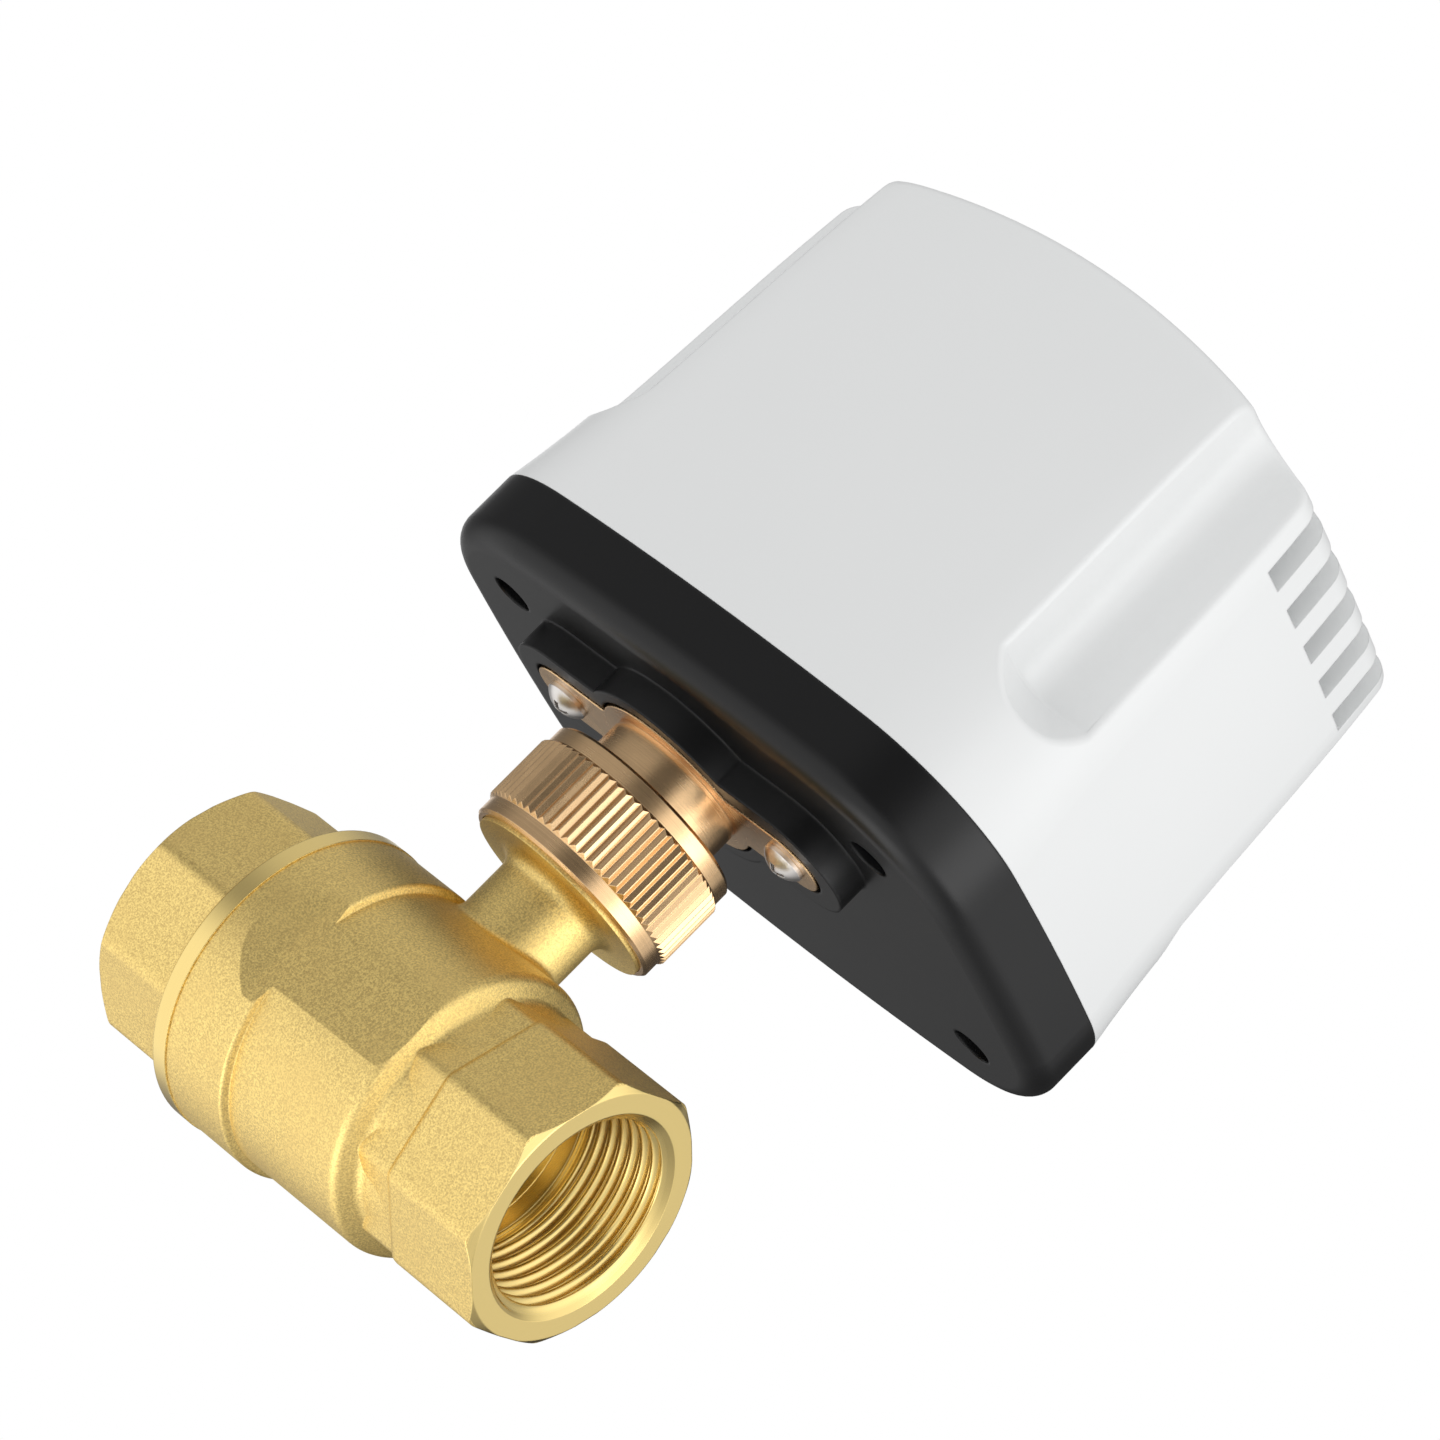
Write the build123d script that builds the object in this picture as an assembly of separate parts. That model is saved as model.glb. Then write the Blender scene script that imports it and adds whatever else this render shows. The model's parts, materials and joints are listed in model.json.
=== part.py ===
from build123d import *
from math import acos, atan2, cos, hypot, pi, radians, sin, sqrt, tan
import os

# Motorized ball valve: a two-way brass ball valve with 3/4 inch internal pipe threads and
# a clip-on electric actuator, joined by a knurled union nut. All lengths are millimetres.
# Pieces are drawn about the stem: X runs along the pipe towards the outlet, Z up the stem.
# On saving they shift along X, so that the origin is the centre of the inlet port's face.

# Pipe ends
half_length = 33.9
thread_major_r = 13.22
mouth_r = 13.7
mouth_chamfer = 0.35
thread_depth = 14.5
runout_r = 12.52
runout_length = 2.2
port_r = 9.7
octagon_r = 17.62
octagon_edge_r = 2.2
octagon_bevel = 1.0
face_ring_r = 16.35

# Valve casting: the barrel's ring, the waist, its shoulder and the octagonal collar behind the end
barrel_r = 19.97
barrel_end_x = -6.2
barrel_bend_r = 0.5
waist_r = 19.02
shoulder = ((12.3, 18.92), (13.9, 16.2), (18.6, 15.6))
shoulder_bend_r = 1.5
octagon_collar_r = 17.05
octagon_start = 18.6
octagon_back_r = 1.3
side_flat_y = 18.33
side_flat_z = 8.0
side_flat_start_x = -8.6
side_flat_slope_x = -13.5
collar_r = 20.15
collar_thickness = 2.5
joint_x = -16.7
cavity_r = 15.2
cavity_end_x = 10.2
nose_r = 16.85
nose_end_x = -9.4
neck_r = 7.25
neck_root_r = 1.2
neck_rim_r = 2.0
stem_flange_r = 12.6
stem_flange_bottom = 27.4
stem_flange_top = 34.0

# Ball, seats and stem
ball_r = 14.8
ball_bore_r = 9.5
seat_outer_r = 13.2
seat_back_x = 13.2
seat_inner_r = 9.9
stem_r = 4.5
stem_shoulder_r = 6.0
stem_top = 41.0
stem_seal_z = (20.2, 24.2)
pin_r = 0.98
pin_x = (-9.9, 9.9)
fit_gap = 0.05

# Union nut
nut_bottom = 27.9
nut_top = 42.0
nut_r = 13.6
knurl_r = 14.1
knurl_depth = 0.45
knurl_bottom = 30.2
knurl_top = 39.6
knurl_teeth = 66

# Mounting flange of the actuator
spigot_r = 9.45
spigot_bore_r = 6.55
ear_x = 19.2
ear_r = 5.0
ear_disc_r = 11.65
ear_notch_r = 1.2
flange_edge_r = 0.12
flange_face_z = 47.2
flange_back_z = 50.4

# Actuator case, centred beside the stem
case_x = 0.5
case_y = 14.7
case_half_x = 44.5
case_half_y = 36.4
case_corner_r = 20.2
bow_x_r = 260.0
bow_y_r = 230.0
base_bottom = 51.5
parting_z = 61.3
base_edge_r = 3.2
pad_face_z = 47.4
pad_disc_r = 13.9
pad_lobe_r = 8.6
wall = 2.2
screw_x = 31.4
screw_y = 21.5
dome_r = 122.0
dome_x = 1.6
dome_top = 123.55
channel_x = 31.1
channel_y = 21.05
channel_r = 5.5
channel_floor = 78.5
channel_lean = 1.7
cover_insets = ((61.3, 0.0), (78.0, 1.9), (100.0, 3.2), (130.0, 6.6))
rim_r = 3.4
ridge_r = 1.0
vent_depth_x = 34.5
vent_count = 5
vent_width = 3.8
vent_pitch = 7.6
vent_floor = 108.0

# Gear train: module, teeth, directions from shaft to shaft and levels
gear_module = 0.8
pressure_angle = 25.0
flank_play = 0.06
output_teeth = 38
wheel_teeth = 32
pinion_teeth = 10
mesh_angles = (35.0, 110.0, 175.0, 230.0)
layer_z = (58.5, 63.0, 66.0, 69.0)
layer_top = (62.5, 65.4, 68.4, 71.4)
arbor_r = 1.5
hub_r = 2.6
lower_plate_z = 56.0
upper_plate_z = 72.0
plate_thickness = 1.5
plate_edges = (-25.6, 27.0, -9.0, 43.0)
post_x = (-21.5, 23.0)
post_y = (-4.8, 37.8)

# Output shaft, cams and switches
shaft_r = 6.5
shaft_seat_r = 5.0
shaft_seat_flat = 4.2
shaft_top_r = 3.4
shaft_top_flat = 2.8
shaft_top_z = 90.0
cam_r = 6.0
cam_lobe_r = 8.5
cam_z = (76.5, 83.5)
switch_z = (75.2, 82.2)
switch_left = 2.0
switch_right = 22.0
switch_front = 10.5

# Motor, circuit board and cable entry
motor_r = 14.5
motor_bottom = 73.5
motor_top = 92.0
rotor_r = 6.3
rotor_shaft_r = 1.0
motor_screw_reach = 16.8
board_z = 97.0
gland_z = 90.0
gland_face_y = 49.6
gland_neck_r = 7.9
gland_hex_r = 10.8
gland_cap_thread_r = 7.0
gland_seal_r = 5.15
gland_cap_r = 9.8
gland_cap_hex_r = 10.5
gland_cap_length = 13.5
cable_r = 3.5


def save(name, shape):
    """Shift a piece from the stem's frame to the inlet's and write it."""
    moved = Compound([Pos(half_length, 0, 0) * solid for solid in shape.solids()])
    moved.label = name
    export_step(moved, f"parts/{name}.step")


def disc(radius, bottom, top, x=0, y=0):
    """An upright cylinder between two heights."""
    return Pos(x, y, (bottom + top) / 2) * Cylinder(radius, top - bottom)


def tube(outer, inner, bottom, top, x=0, y=0):
    """An upright ring between two heights."""
    return disc(outer, bottom, top, x, y) - disc(inner, bottom - 1, top + 1, x, y)


def pipe_cylinder(radius, start, end):
    """A cylinder along the pipe axis."""
    return Pos((start + end) / 2, 0, 0) * Rot(0, 90, 0) * Cylinder(radius, end - start)


def pipe_cone(start_r, end_r, start, end):
    """A cone along the pipe axis, from one radius to the other."""
    return Pos((start + end) / 2, 0, 0) * Rot(0, 90, 0) * Cone(start_r, end_r, end - start)


def block(x0, x1, y0, y1, z0, z1):
    """A box given by its six faces."""
    return Pos((x0 + x1) / 2, (y0 + y1) / 2, (z0 + z1) / 2) * Box(x1 - x0, y1 - y0, z1 - z0)


def revolve_z(points):
    """A solid of revolution about Z from (radius, height) points."""
    outline = Polyline(*[(r, 0, z) for r, z in points], close=True)
    return revolve(make_face(outline), Axis.Z)


def octagon_prism(corner_r, start, end):
    """An octagonal bar along the pipe with a corner at the top and rounded edges."""
    outline = Plane.YZ * RegularPolygon(corner_r, 8)
    bar = Pos(start, 0, 0) * extrude(outline, end - start, dir=(1, 0, 0))
    return fillet(bar.edges().filter_by(Axis.X), octagon_edge_r)


def pipe_end(start, end):
    """The octagonal end from start to its face, with a bevelled rim; end has its sign."""
    side = 1 if end > start else -1
    low, high = sorted((start, end))
    bar = octagon_prism(octagon_r, low, high)
    reach = octagon_bevel * 8
    rim_r = face_ring_r + (octagon_r - face_ring_r) / octagon_bevel * reach
    bevel_start = end - side * reach
    if side > 0:
        envelope = pipe_cone(rim_r, face_ring_r, bevel_start, end)
        envelope += pipe_cylinder(rim_r, start - 1, bevel_start)
    else:
        envelope = pipe_cone(face_ring_r, rim_r, end, bevel_start)
        envelope += pipe_cylinder(rim_r, bevel_start, start + 1)
    return bar & envelope


def port_cut(end):
    """The bore of one pipe end: countersink, threaded length, run-out and port."""
    side = 1 if end > 0 else -1
    root = end - side * thread_depth
    relief = root - side * runout_length
    low, high = sorted((end + side, root))
    cut = pipe_cylinder(thread_major_r, low, high)
    low, high = sorted((root, relief))
    cut += pipe_cylinder(runout_r, low, high)
    if side > 0:
        cut += pipe_cone(thread_major_r - 0.01, mouth_r, end - mouth_chamfer, end)
    else:
        cut += pipe_cone(mouth_r, thread_major_r - 0.01, end, end + mouth_chamfer)
    return cut


def turned(outline, bend_r):
    """A solid turned about the pipe from (x, radius) points, with its bends rounded."""
    start_x, start_r = outline[0]
    end_x, end_r = outline[-1]
    line = FilletPolyline(*outline, radius=bend_r)
    line += Polyline((end_x, end_r), (end_x, 0), (start_x, 0), (start_x, start_r))
    return revolve(make_face(line), Axis.X)


def on_neck(edge):
    """True for the edge where the neck stands on the waist."""
    points = [edge @ u for u in (0.1, 0.5, 0.9)]
    return all(abs(hypot(p.X, p.Y) - neck_r) < 0.02 and p.Z < waist_r + 1 for p in points)


def under_flange(edge):
    """True for the circle where the neck meets the stem flange."""
    return edge.geom_type == GeomType.CIRCLE and abs(edge.center().Z - stem_flange_bottom) < 0.01


def side_flat(side):
    """The cut of a cast flat: level along the waist, with a slope where it starts on the ring."""
    outer = barrel_r + 1
    outline = [(side_flat_slope_x, barrel_r), (side_flat_start_x, side_flat_y), (shoulder[1][0], side_flat_y),
               (shoulder[1][0], outer), (side_flat_slope_x, outer)]
    face = make_face(Polyline(*[(x, side * y) for x, y in outline], close=True))
    return Pos(0, 0, -side_flat_z) * extrude(face, 2 * side_flat_z, dir=(0, 0, 1))


def make_valve_body():
    """Cast body: waist with its neck, barrel ring, side flats, octagonal end, stem flange."""
    body = turned(((joint_x, waist_r),) + shoulder, shoulder_bend_r)
    body += disc(neck_r, ball_r, stem_flange_bottom + 1)
    body = fillet([edge for edge in body.edges() if on_neck(edge)], neck_root_r)
    ring = ((joint_x, barrel_r), (barrel_end_x - barrel_bend_r, barrel_r), (barrel_end_x, waist_r - 0.3))
    body += turned(ring, barrel_bend_r)
    for side in (-1, 1):
        body -= side_flat(side)
    body += octagon_prism(octagon_collar_r, shoulder[0][0], octagon_start + 1)
    end = pipe_end(octagon_start, half_length)
    body += fillet(end.faces().sort_by(Axis.X)[0].edges(), octagon_back_r)
    body += disc(stem_flange_r, stem_flange_bottom, stem_flange_top)
    rim = [edge for edge in body.edges() if under_flange(edge) and edge.radius < neck_r + 0.1]
    return fillet(rim, neck_rim_r)


def cut_valve_body(body):
    """Port, ball cavity, seat pocket, adapter thread, stem bore and flange recess."""
    body -= port_cut(half_length)
    body -= pipe_cylinder(port_r, 5, half_length)
    body -= pipe_cylinder(cavity_r, joint_x - 1, cavity_end_x)
    body -= pipe_cylinder(seat_outer_r, 5, seat_back_x)
    body -= pipe_cylinder(nose_r + fit_gap, joint_x - 1, nose_end_x + 0.2)
    body -= disc(stem_r + fit_gap, 5, stem_flange_top + 1)
    body -= disc(stem_shoulder_r + 0.3, 5, 17.4)
    body -= disc(8.3, 29.5, stem_flange_top + 1)
    for x in pin_x:
        body -= disc(pin_r + 0.02, 31.0, stem_flange_top + 1, x, 0)
    return body


def valve_body():
    """The casting with all its bores."""
    return cut_valve_body(make_valve_body())


def end_adapter():
    """Screwed-in inlet end: collar, octagon, threaded nose and seat pocket."""
    collar = pipe_cylinder(collar_r, joint_x - collar_thickness, joint_x)
    collar = chamfer(collar.edges().sort_by(Axis.X)[0], 0.3)
    part = collar + pipe_end(joint_x - 2, -half_length)
    part += pipe_cylinder(nose_r, joint_x - 1, nose_end_x)
    part -= port_cut(-half_length)
    part -= pipe_cylinder(port_r, -half_length, -5)
    part -= pipe_cylinder(cavity_r, -12.2, -5)
    part -= pipe_cylinder(seat_outer_r, -seat_back_x, -5)
    groove = pipe_cylinder(17.5, joint_x + 0.001, joint_x + 1.6)
    groove -= pipe_cylinder(15.9, joint_x, joint_x + 2)
    return part - groove


def adapter_seal():
    """Elastomer ring in the nose groove, pressed against the body's bore."""
    return Pos(joint_x + 0.8, 0, 0) * Rot(0, 90, 0) * Torus(16.4, 0.48)


def ball():
    """Bored ball with the stem's drive slot across its top."""
    part = Sphere(ball_r) - pipe_cylinder(ball_bore_r, -20, 20)
    slot = block(-20, 20, -2.1, 2.1, 10.9, 20) & Rot(90, 0, 0) * Cylinder(30, 30)
    return part - slot


def ball_seats():
    """Two seat rings with a spherical lip that just clears the ball."""
    lip = ball_r + 0.03
    outer = seat_outer_r - 0.02
    near = sqrt(lip ** 2 - seat_inner_r ** 2)
    far = 8.9
    far_r = sqrt(lip ** 2 - far ** 2)
    middle = (near + far) / 2
    middle_r = sqrt(lip ** 2 - middle ** 2)
    line = ThreePointArc((near, 0, seat_inner_r), (middle, 0, middle_r), (far, 0, far_r))
    back = seat_back_x - fit_gap
    corners = ((far, far_r), (far, outer), (back, outer), (back, seat_inner_r), (near, seat_inner_r))
    line += Polyline(*[(x, 0, r) for x, r in corners])
    seat = revolve(make_face(line), Axis.X)
    return Compound(children=[seat, mirror(seat, Plane.YZ)])


def stem():
    """Stem with its ball tang, thrust shoulder, seal grooves and two drive flats."""
    part = disc(stem_r, 17.0, stem_top)
    part += disc(stem_shoulder_r, 14.9, 16.9)
    part += block(-5.4, 5.4, -2.05, 2.05, 11.2, 15.0) & disc(5.4, 11, 16)
    for z in stem_seal_z:
        part -= tube(stem_r + 1, stem_r - 0.9, z - 0.75, z + 0.75)
    for side in (-1, 1):
        part -= block(-6, 6, side * 5 - 1.9, side * 5 + 1.9, 34.2, 42)
    return part


def stem_seals():
    """Two O-rings in the stem's grooves."""
    return Compound(children=[Pos(0, 0, z) * Torus(stem_r - 0.36, 0.38) for z in stem_seal_z])


def thrust_washer():
    """Low-friction washer between the stem's shoulder and the body."""
    return tube(stem_shoulder_r - 0.1, stem_r + 0.02, 16.93, 17.38)


def locating_pins():
    """Two pins that stop the actuator turning on the valve."""
    return Compound(children=[disc(pin_r, 31.2, 36.2, x, 0) for x in pin_x])


def knurl_outline(outer):
    """Straight knurl as a ring of V grooves with narrow crests."""
    points = []
    for k in range(knurl_teeth):
        for part, r in ((0.05, outer), (0.5, outer - knurl_depth), (0.95, outer)):
            a = 2 * pi * (k + part) / knurl_teeth
            points.append((r * cos(a), r * sin(a)))
    return make_face(Polyline(*points, close=True))


def union_nut():
    """Knurled nut: its thread holds the valve flange and its lip the spigot's collar."""
    plain = revolve_z([(0, nut_bottom), (nut_r - 0.35, nut_bottom), (nut_r, nut_bottom + 0.35),
                       (nut_r, nut_top - 0.4), (nut_r - 0.4, nut_top), (0, nut_top)])
    band = Pos(0, 0, knurl_bottom) * extrude(knurl_outline(knurl_r), knurl_top - knurl_bottom)
    bevel = revolve_z([(0, knurl_bottom), (nut_r, knurl_bottom), (knurl_r, knurl_bottom + 0.5),
                       (knurl_r, knurl_top - 0.5), (nut_r, knurl_top), (0, knurl_top)])
    nut = plain + (band & bevel)
    nut -= disc(stem_flange_r + 0.08, nut_bottom - 1, 37.1)
    return nut - disc(spigot_r + 0.08, 37, nut_top + 1)


def ear_outline(disc_r, lobe_r):
    """Round disc with an ear at each screw."""
    shape = Circle(disc_r) + Rectangle(2 * ear_x, 2 * lobe_r)
    for side in (-1, 1):
        shape += Pos(side * ear_x, 0) * Circle(lobe_r)
    return shape


def mounting_flange():
    """Turned spigot with its collar and the two-eared plate that the case sits on."""
    part = disc(12.3, 34.2, 36.9) + disc(spigot_r, 36, flange_face_z + 1)
    plate = Pos(0, 0, flange_face_z) * extrude(ear_outline(ear_disc_r, ear_r), flange_back_z - flange_face_z)
    corners = [e for e in plate.edges().filter_by(Axis.Z) if abs(e.center().X) < 14]
    plate = fillet(corners, ear_notch_r)
    lower = plate.faces().sort_by(Axis.Z)[0]
    plate = fillet(lower.edges(), flange_edge_r)
    part += plate
    part -= tube(spigot_r + 1, spigot_r - 0.3, flange_face_z - 0.5, flange_face_z - 0.02)
    part -= disc(spigot_bore_r, 30, 60)
    for x in pin_x:
        part -= disc(pin_r + 0.02, 34, 36.5, x, 0)
    for x in (-ear_x, ear_x):
        part -= disc(1.6, 40, 60, x, 0)
    return part


def pan_screw(shank_r, head_r, head_height, length):
    """Domed screw hanging head down: head below z = 0, shank above, cross recess."""
    dome = head_height * 0.72
    cap_r = (head_r ** 2 + dome ** 2) / (2 * dome)
    head = disc(head_r, -head_height, 0) & Pos(0, 0, cap_r - head_height) * Sphere(cap_r)
    screw = head + disc(shank_r, -0.2, length)
    reach = head_r * 0.5
    for turn in (0, 90):
        slot = block(-reach, reach, -0.35, 0.35, -head_height - 1, -head_height + 0.9)
        screw -= Rot(0, 0, turn) * slot
    return screw


def flange_screws():
    """Two pan-head screws from the ears into the case base."""
    return Compound(children=[Pos(x, 0, flange_face_z) * pan_screw(1.49, 2.85, 1.9, 8.2)
                              for x in (-ear_x, ear_x)])


def corner_centre():
    """Centre of the round corner that runs smoothly into both bowed sides."""
    centre_x = case_half_x - bow_x_r
    centre_y = case_half_y - bow_y_r
    reach_x = bow_x_r - case_corner_r
    reach_y = bow_y_r - case_corner_r
    apart = hypot(centre_x, centre_y)
    along = (reach_x ** 2 - reach_y ** 2 + apart ** 2) / (2 * apart)
    aside = sqrt(reach_x ** 2 - along ** 2)
    x = centre_x - (along * centre_x + aside * centre_y) / apart
    y = (along * centre_y - aside * centre_x) / apart
    return x, y


def case_outline(inset):
    """Case outline: gently bowed sides and large round corners, moved inwards by inset."""
    px, py = corner_centre()
    start = atan2(py, px - case_half_x + bow_x_r)
    finish = atan2(py - case_half_y + bow_y_r, px)
    r = case_corner_r - inset
    hx = case_half_x - inset
    hy = case_half_y - inset
    corner = [(px + r * cos(a), py + r * sin(a)) for a in (start, (start + finish) / 2, finish)]
    line = None
    quarters = ((1, 1, (0, hy)), (-1, 1, (-hx, 0)), (-1, -1, (0, -hy)), (1, -1, (hx, 0)))
    for sx, sy, side_middle in quarters:
        forward = sx * sy > 0
        arc = [(sx * x, sy * y) for x, y in (corner if forward else corner[::-1])]
        side_end = (-arc[2][0], arc[2][1]) if forward else (arc[2][0], -arc[2][1])
        quarter = ThreePointArc(*arc) + ThreePointArc(arc[2], side_middle, side_end)
        line = quarter if line is None else line + quarter
    return Pos(case_x, case_y) * make_face(line)


def case_slab(inset, bottom, top):
    """The case outline as a slab between two heights."""
    return Pos(0, 0, bottom) * extrude(case_outline(inset), top - bottom)


def screw_places():
    """The four cover screws around the case centre."""
    return [(case_x + sx * screw_x, case_y + sy * screw_y) for sx in (-1, 1) for sy in (-1, 1)]


def base():
    """Black case base: shell, flange pad with its recess, bearing boss and screw bosses."""
    shell = case_slab(0, base_bottom, parting_z)
    under = shell.faces().sort_by(Axis.Z)[0]
    shell = fillet(under.edges(), base_edge_r)
    shell -= case_slab(wall, base_bottom + 3.0, parting_z + 1)
    pad = Pos(0, 0, pad_face_z) * extrude(ear_outline(pad_disc_r, pad_lobe_r), base_bottom + 1 - pad_face_z)
    shell += pad
    recess = Pos(0, 0, pad_face_z - 1) * extrude(ear_outline(ear_disc_r + 0.45, ear_r + 0.45),
                                                 flange_back_z + 0.05 - pad_face_z + 1)
    shell -= recess
    shell += disc(9.4, base_bottom + 2, 55.9)
    shell -= disc(8.05, flange_back_z - 1, 60)
    for x in (-ear_x, ear_x):
        shell += disc(3.4, base_bottom + 2, lower_plate_z - 0.1, x, 0)
        shell -= disc(1.5, flange_back_z - 1, lower_plate_z - 0.4, x, 0)
    for x, y in screw_places():
        shell += disc(4.4, base_bottom + 2, parting_z - 0.1, x, y)
        shell -= disc(2.75, base_bottom - 1, 57.5, x, y)
        shell -= disc(1.6, 57, parting_z + 1, x, y)
    for x in post_x:
        for y in post_y:
            shell += disc(3.4, base_bottom + 2, lower_plate_z, x, y)
            shell -= disc(1.5, base_bottom + 1.2, lower_plate_z + 1, x, y)
    groove = case_slab(0.75, parting_z - 0.8, parting_z + 1) - case_slab(1.55, parting_z - 2, parting_z + 2)
    shell -= groove
    return shell & case_slab(-0.5, 40, 70)


def base_gasket():
    """Flat ring in the base's rim groove under the cover."""
    return case_slab(0.85, parting_z - 0.78, parting_z) - case_slab(1.45, parting_z - 2, parting_z + 2)


def dome_slab(extra):
    """Everything below the domed top: an arc of large radius drawn along Y."""
    r = dome_r - extra
    x = case_x + dome_x
    reach = 60
    top = dome_top - extra
    low = top - r + sqrt(r * r - reach * reach)
    outline = ThreePointArc((x - reach, 0, low), (x, 0, top), (x + reach, 0, low))
    outline += Polyline((x + reach, 0, low), (x + reach, 0, 50), (x - reach, 0, 50), (x - reach, 0, low))
    return Pos(0, case_y + 60, 0) * extrude(make_face(outline), 120, dir=(0, -1, 0))


def cover_block(extra):
    """The cover's drawn-in form under its dome, moved inwards by extra."""
    sections = [Pos(0, 0, z) * case_outline(inset + extra) for z, inset in cover_insets]
    return loft(sections) & dome_slab(extra)


def channel_section(sx, sy, extra, shift, z):
    """Level cut through a corner channel: two walls joined by a round corner."""
    x0 = channel_x - extra + shift
    y0 = channel_y - extra + shift
    r = channel_r + extra
    k = r * (1 - sqrt(0.5))
    points = [(x0, 40), (x0, y0 + r), (x0 + k, y0 + k), (x0 + r, y0), (54, y0), (54, 40)]
    p = [(sx * x, sy * y) for x, y in points]
    outline = Line(p[0], p[1]) + ThreePointArc(p[1], p[2], p[3]) + Polyline(p[3], p[4], p[5], p[0])
    return Pos(case_x, case_y, z) * make_face(outline)


def corner_channel(sx, sy, extra):
    """Cutter for one corner channel with its curved run-out at the foot."""
    floor = channel_floor - extra
    levels = ((floor - 6.5, 8.5), (floor - 3.6, 3.1), (floor, 0.0))
    foot = loft([channel_section(sx, sy, extra, shift, z) for z, shift in levels])
    tall = loft([channel_section(sx, sy, extra, 0.0, floor),
                 channel_section(sx, sy, extra, -channel_lean, 131)])
    return tall + foot


def with_channels(body, extra):
    """The body with its four corner channels cut."""
    for sx in (-1, 1):
        for sy in (-1, 1):
            body -= corner_channel(sx, sy, extra)
    return body


def dome_height(x):
    """Height of the domed top above a point."""
    return dome_top - dome_r + sqrt(dome_r ** 2 - (x - case_x - dome_x) ** 2)


def edge_angle(body, edge):
    """Angle between the normals of the two faces that meet at an edge."""
    near = [face for face in body.faces() if any(edge.is_same(other) for other in face.edges())]
    if len(near) != 2:
        return 0
    return near[0].normal_at(edge @ 0.5).get_angle(near[1].normal_at(edge @ 0.5))


def vent_cutters():
    """Slots over the two long top edges of the cover."""
    cutters = []
    for k in range(vent_count):
        y = case_y + (k - (vent_count - 1) / 2) * vent_pitch
        for side in (-1, 1):
            x0, x1 = sorted((case_x + side * vent_depth_x, case_x + side * 50.0))
            cutters.append(block(x0, x1, y - vent_width / 2, y + vent_width / 2, vent_floor, 130))
    return cutters


def cover_outside():
    """Outer form of the cover: dome, rounded rim, channels with soft ridges, gland seat."""
    body = cover_block(0)
    rim = [edge for edge in body.edges()
           if all(abs((edge @ u).Z - dome_height((edge @ u).X)) < 0.05 for u in (0, 0.5, 1))]
    body = fillet(rim, rim_r)
    body = with_channels(body, 0)
    ridges = [e for e in body.edges() if (e @ 0.5).Z > 74 and abs((e @ 0.5).X - case_x) > 25
              and edge_angle(body, e) > 12]
    body = fillet(ridges, ridge_r)
    seat = Pos(case_x, gland_face_y - 3, gland_z) * Rot(90, 0, 0) * Cylinder(12.5, 6)
    return body + seat


def cover():
    """Light grey cover: outer form less its hollow, with vents, screw posts and gland hole."""
    outer = cover_outside()
    hollow = with_channels(cover_block(wall), wall)
    for side in (-1, 1):
        x0, x1 = sorted((case_x + side * (vent_depth_x - 2), case_x + side * 50.0))
        hollow -= block(x0, x1, case_y - 19.5, case_y + 19.5, vent_floor - 2, 130)
    for x, y in screw_places():
        hollow -= disc(4.0, parting_z - 1, 80, x, y)
    hollow -= along_y(12.5, gland_face_y - 4.3, gland_face_y + 2)
    shell = outer - hollow
    for cutter in vent_cutters():
        shell -= cutter
    for x, y in screw_places():
        shell -= disc(1.5, parting_z - 1, 70, x, y)
    return shell - Pos(case_x, gland_face_y - 5, gland_z) * Rot(90, 0, 0) * Cylinder(8.05, 14)


def cover_screws():
    """Four screws driven up through the base into the cover's posts."""
    return Compound(children=[Pos(x, y, 57.45) * pan_screw(1.49, 2.6, 1.9, 11.5) for x, y in screw_places()])


def plate_outline(bottom):
    """Gear plate blank with rounded corners and post holes."""
    x0, x1, y0, y1 = plate_edges
    blank = Pos((x0 + x1) / 2, (y0 + y1) / 2) * RectangleRounded(x1 - x0, y1 - y0, 6)
    plate = Pos(0, 0, bottom) * extrude(blank, plate_thickness)
    for x in post_x:
        for y in post_y:
            plate -= disc(1.55, bottom - 1, bottom + 3, x, y)
    return plate


def shaft_places():
    """Axes of the output, third, second and first shafts and of the motor."""
    places = [(0.0, 0.0)]
    for k, angle in enumerate(mesh_angles):
        teeth = output_teeth if k == 0 else wheel_teeth
        reach = gear_module * (teeth + pinion_teeth) / 2
        x, y = places[-1]
        places.append((x + reach * cos(radians(angle)), y + reach * sin(radians(angle))))
    return places


def lower_gear_plate():
    """Lower plate with the shaft hole and seats for the arbors."""
    plate = plate_outline(lower_plate_z) - disc(shaft_r + 0.15, 50, 60)
    for x, y in shaft_places()[1:4]:
        plate -= disc(arbor_r, 50, 60, x, y)
    return plate


def upper_gear_plate():
    """Upper plate with the shaft hole, arbor seats, rotor hole and screw holes."""
    plate = plate_outline(upper_plate_z) - disc(shaft_top_r + 0.05, 70, 76)
    for x, y in shaft_places()[1:4]:
        plate -= disc(arbor_r, 70, 76, x, y)
    mx, my = shaft_places()[4]
    plate -= disc(2.0, 70, 76, mx, my)
    for x, y in motor_screw_places() + switch_screw_places():
        plate -= disc(1.0, 70, 76, x, y)
    return plate


def gear_arbors():
    """Three pins fixed in both plates, on which the gear clusters turn."""
    top = upper_plate_z + plate_thickness
    return Compound(children=[disc(arbor_r, lower_plate_z, top, x, y) for x, y in shaft_places()[1:4]])


def plate_spacers():
    """Four tubes that hold the gear plates apart."""
    return Compound(children=[tube(3.0, 1.55, lower_plate_z + plate_thickness, upper_plate_z, x, y)
                              for x in post_x for y in post_y])


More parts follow.
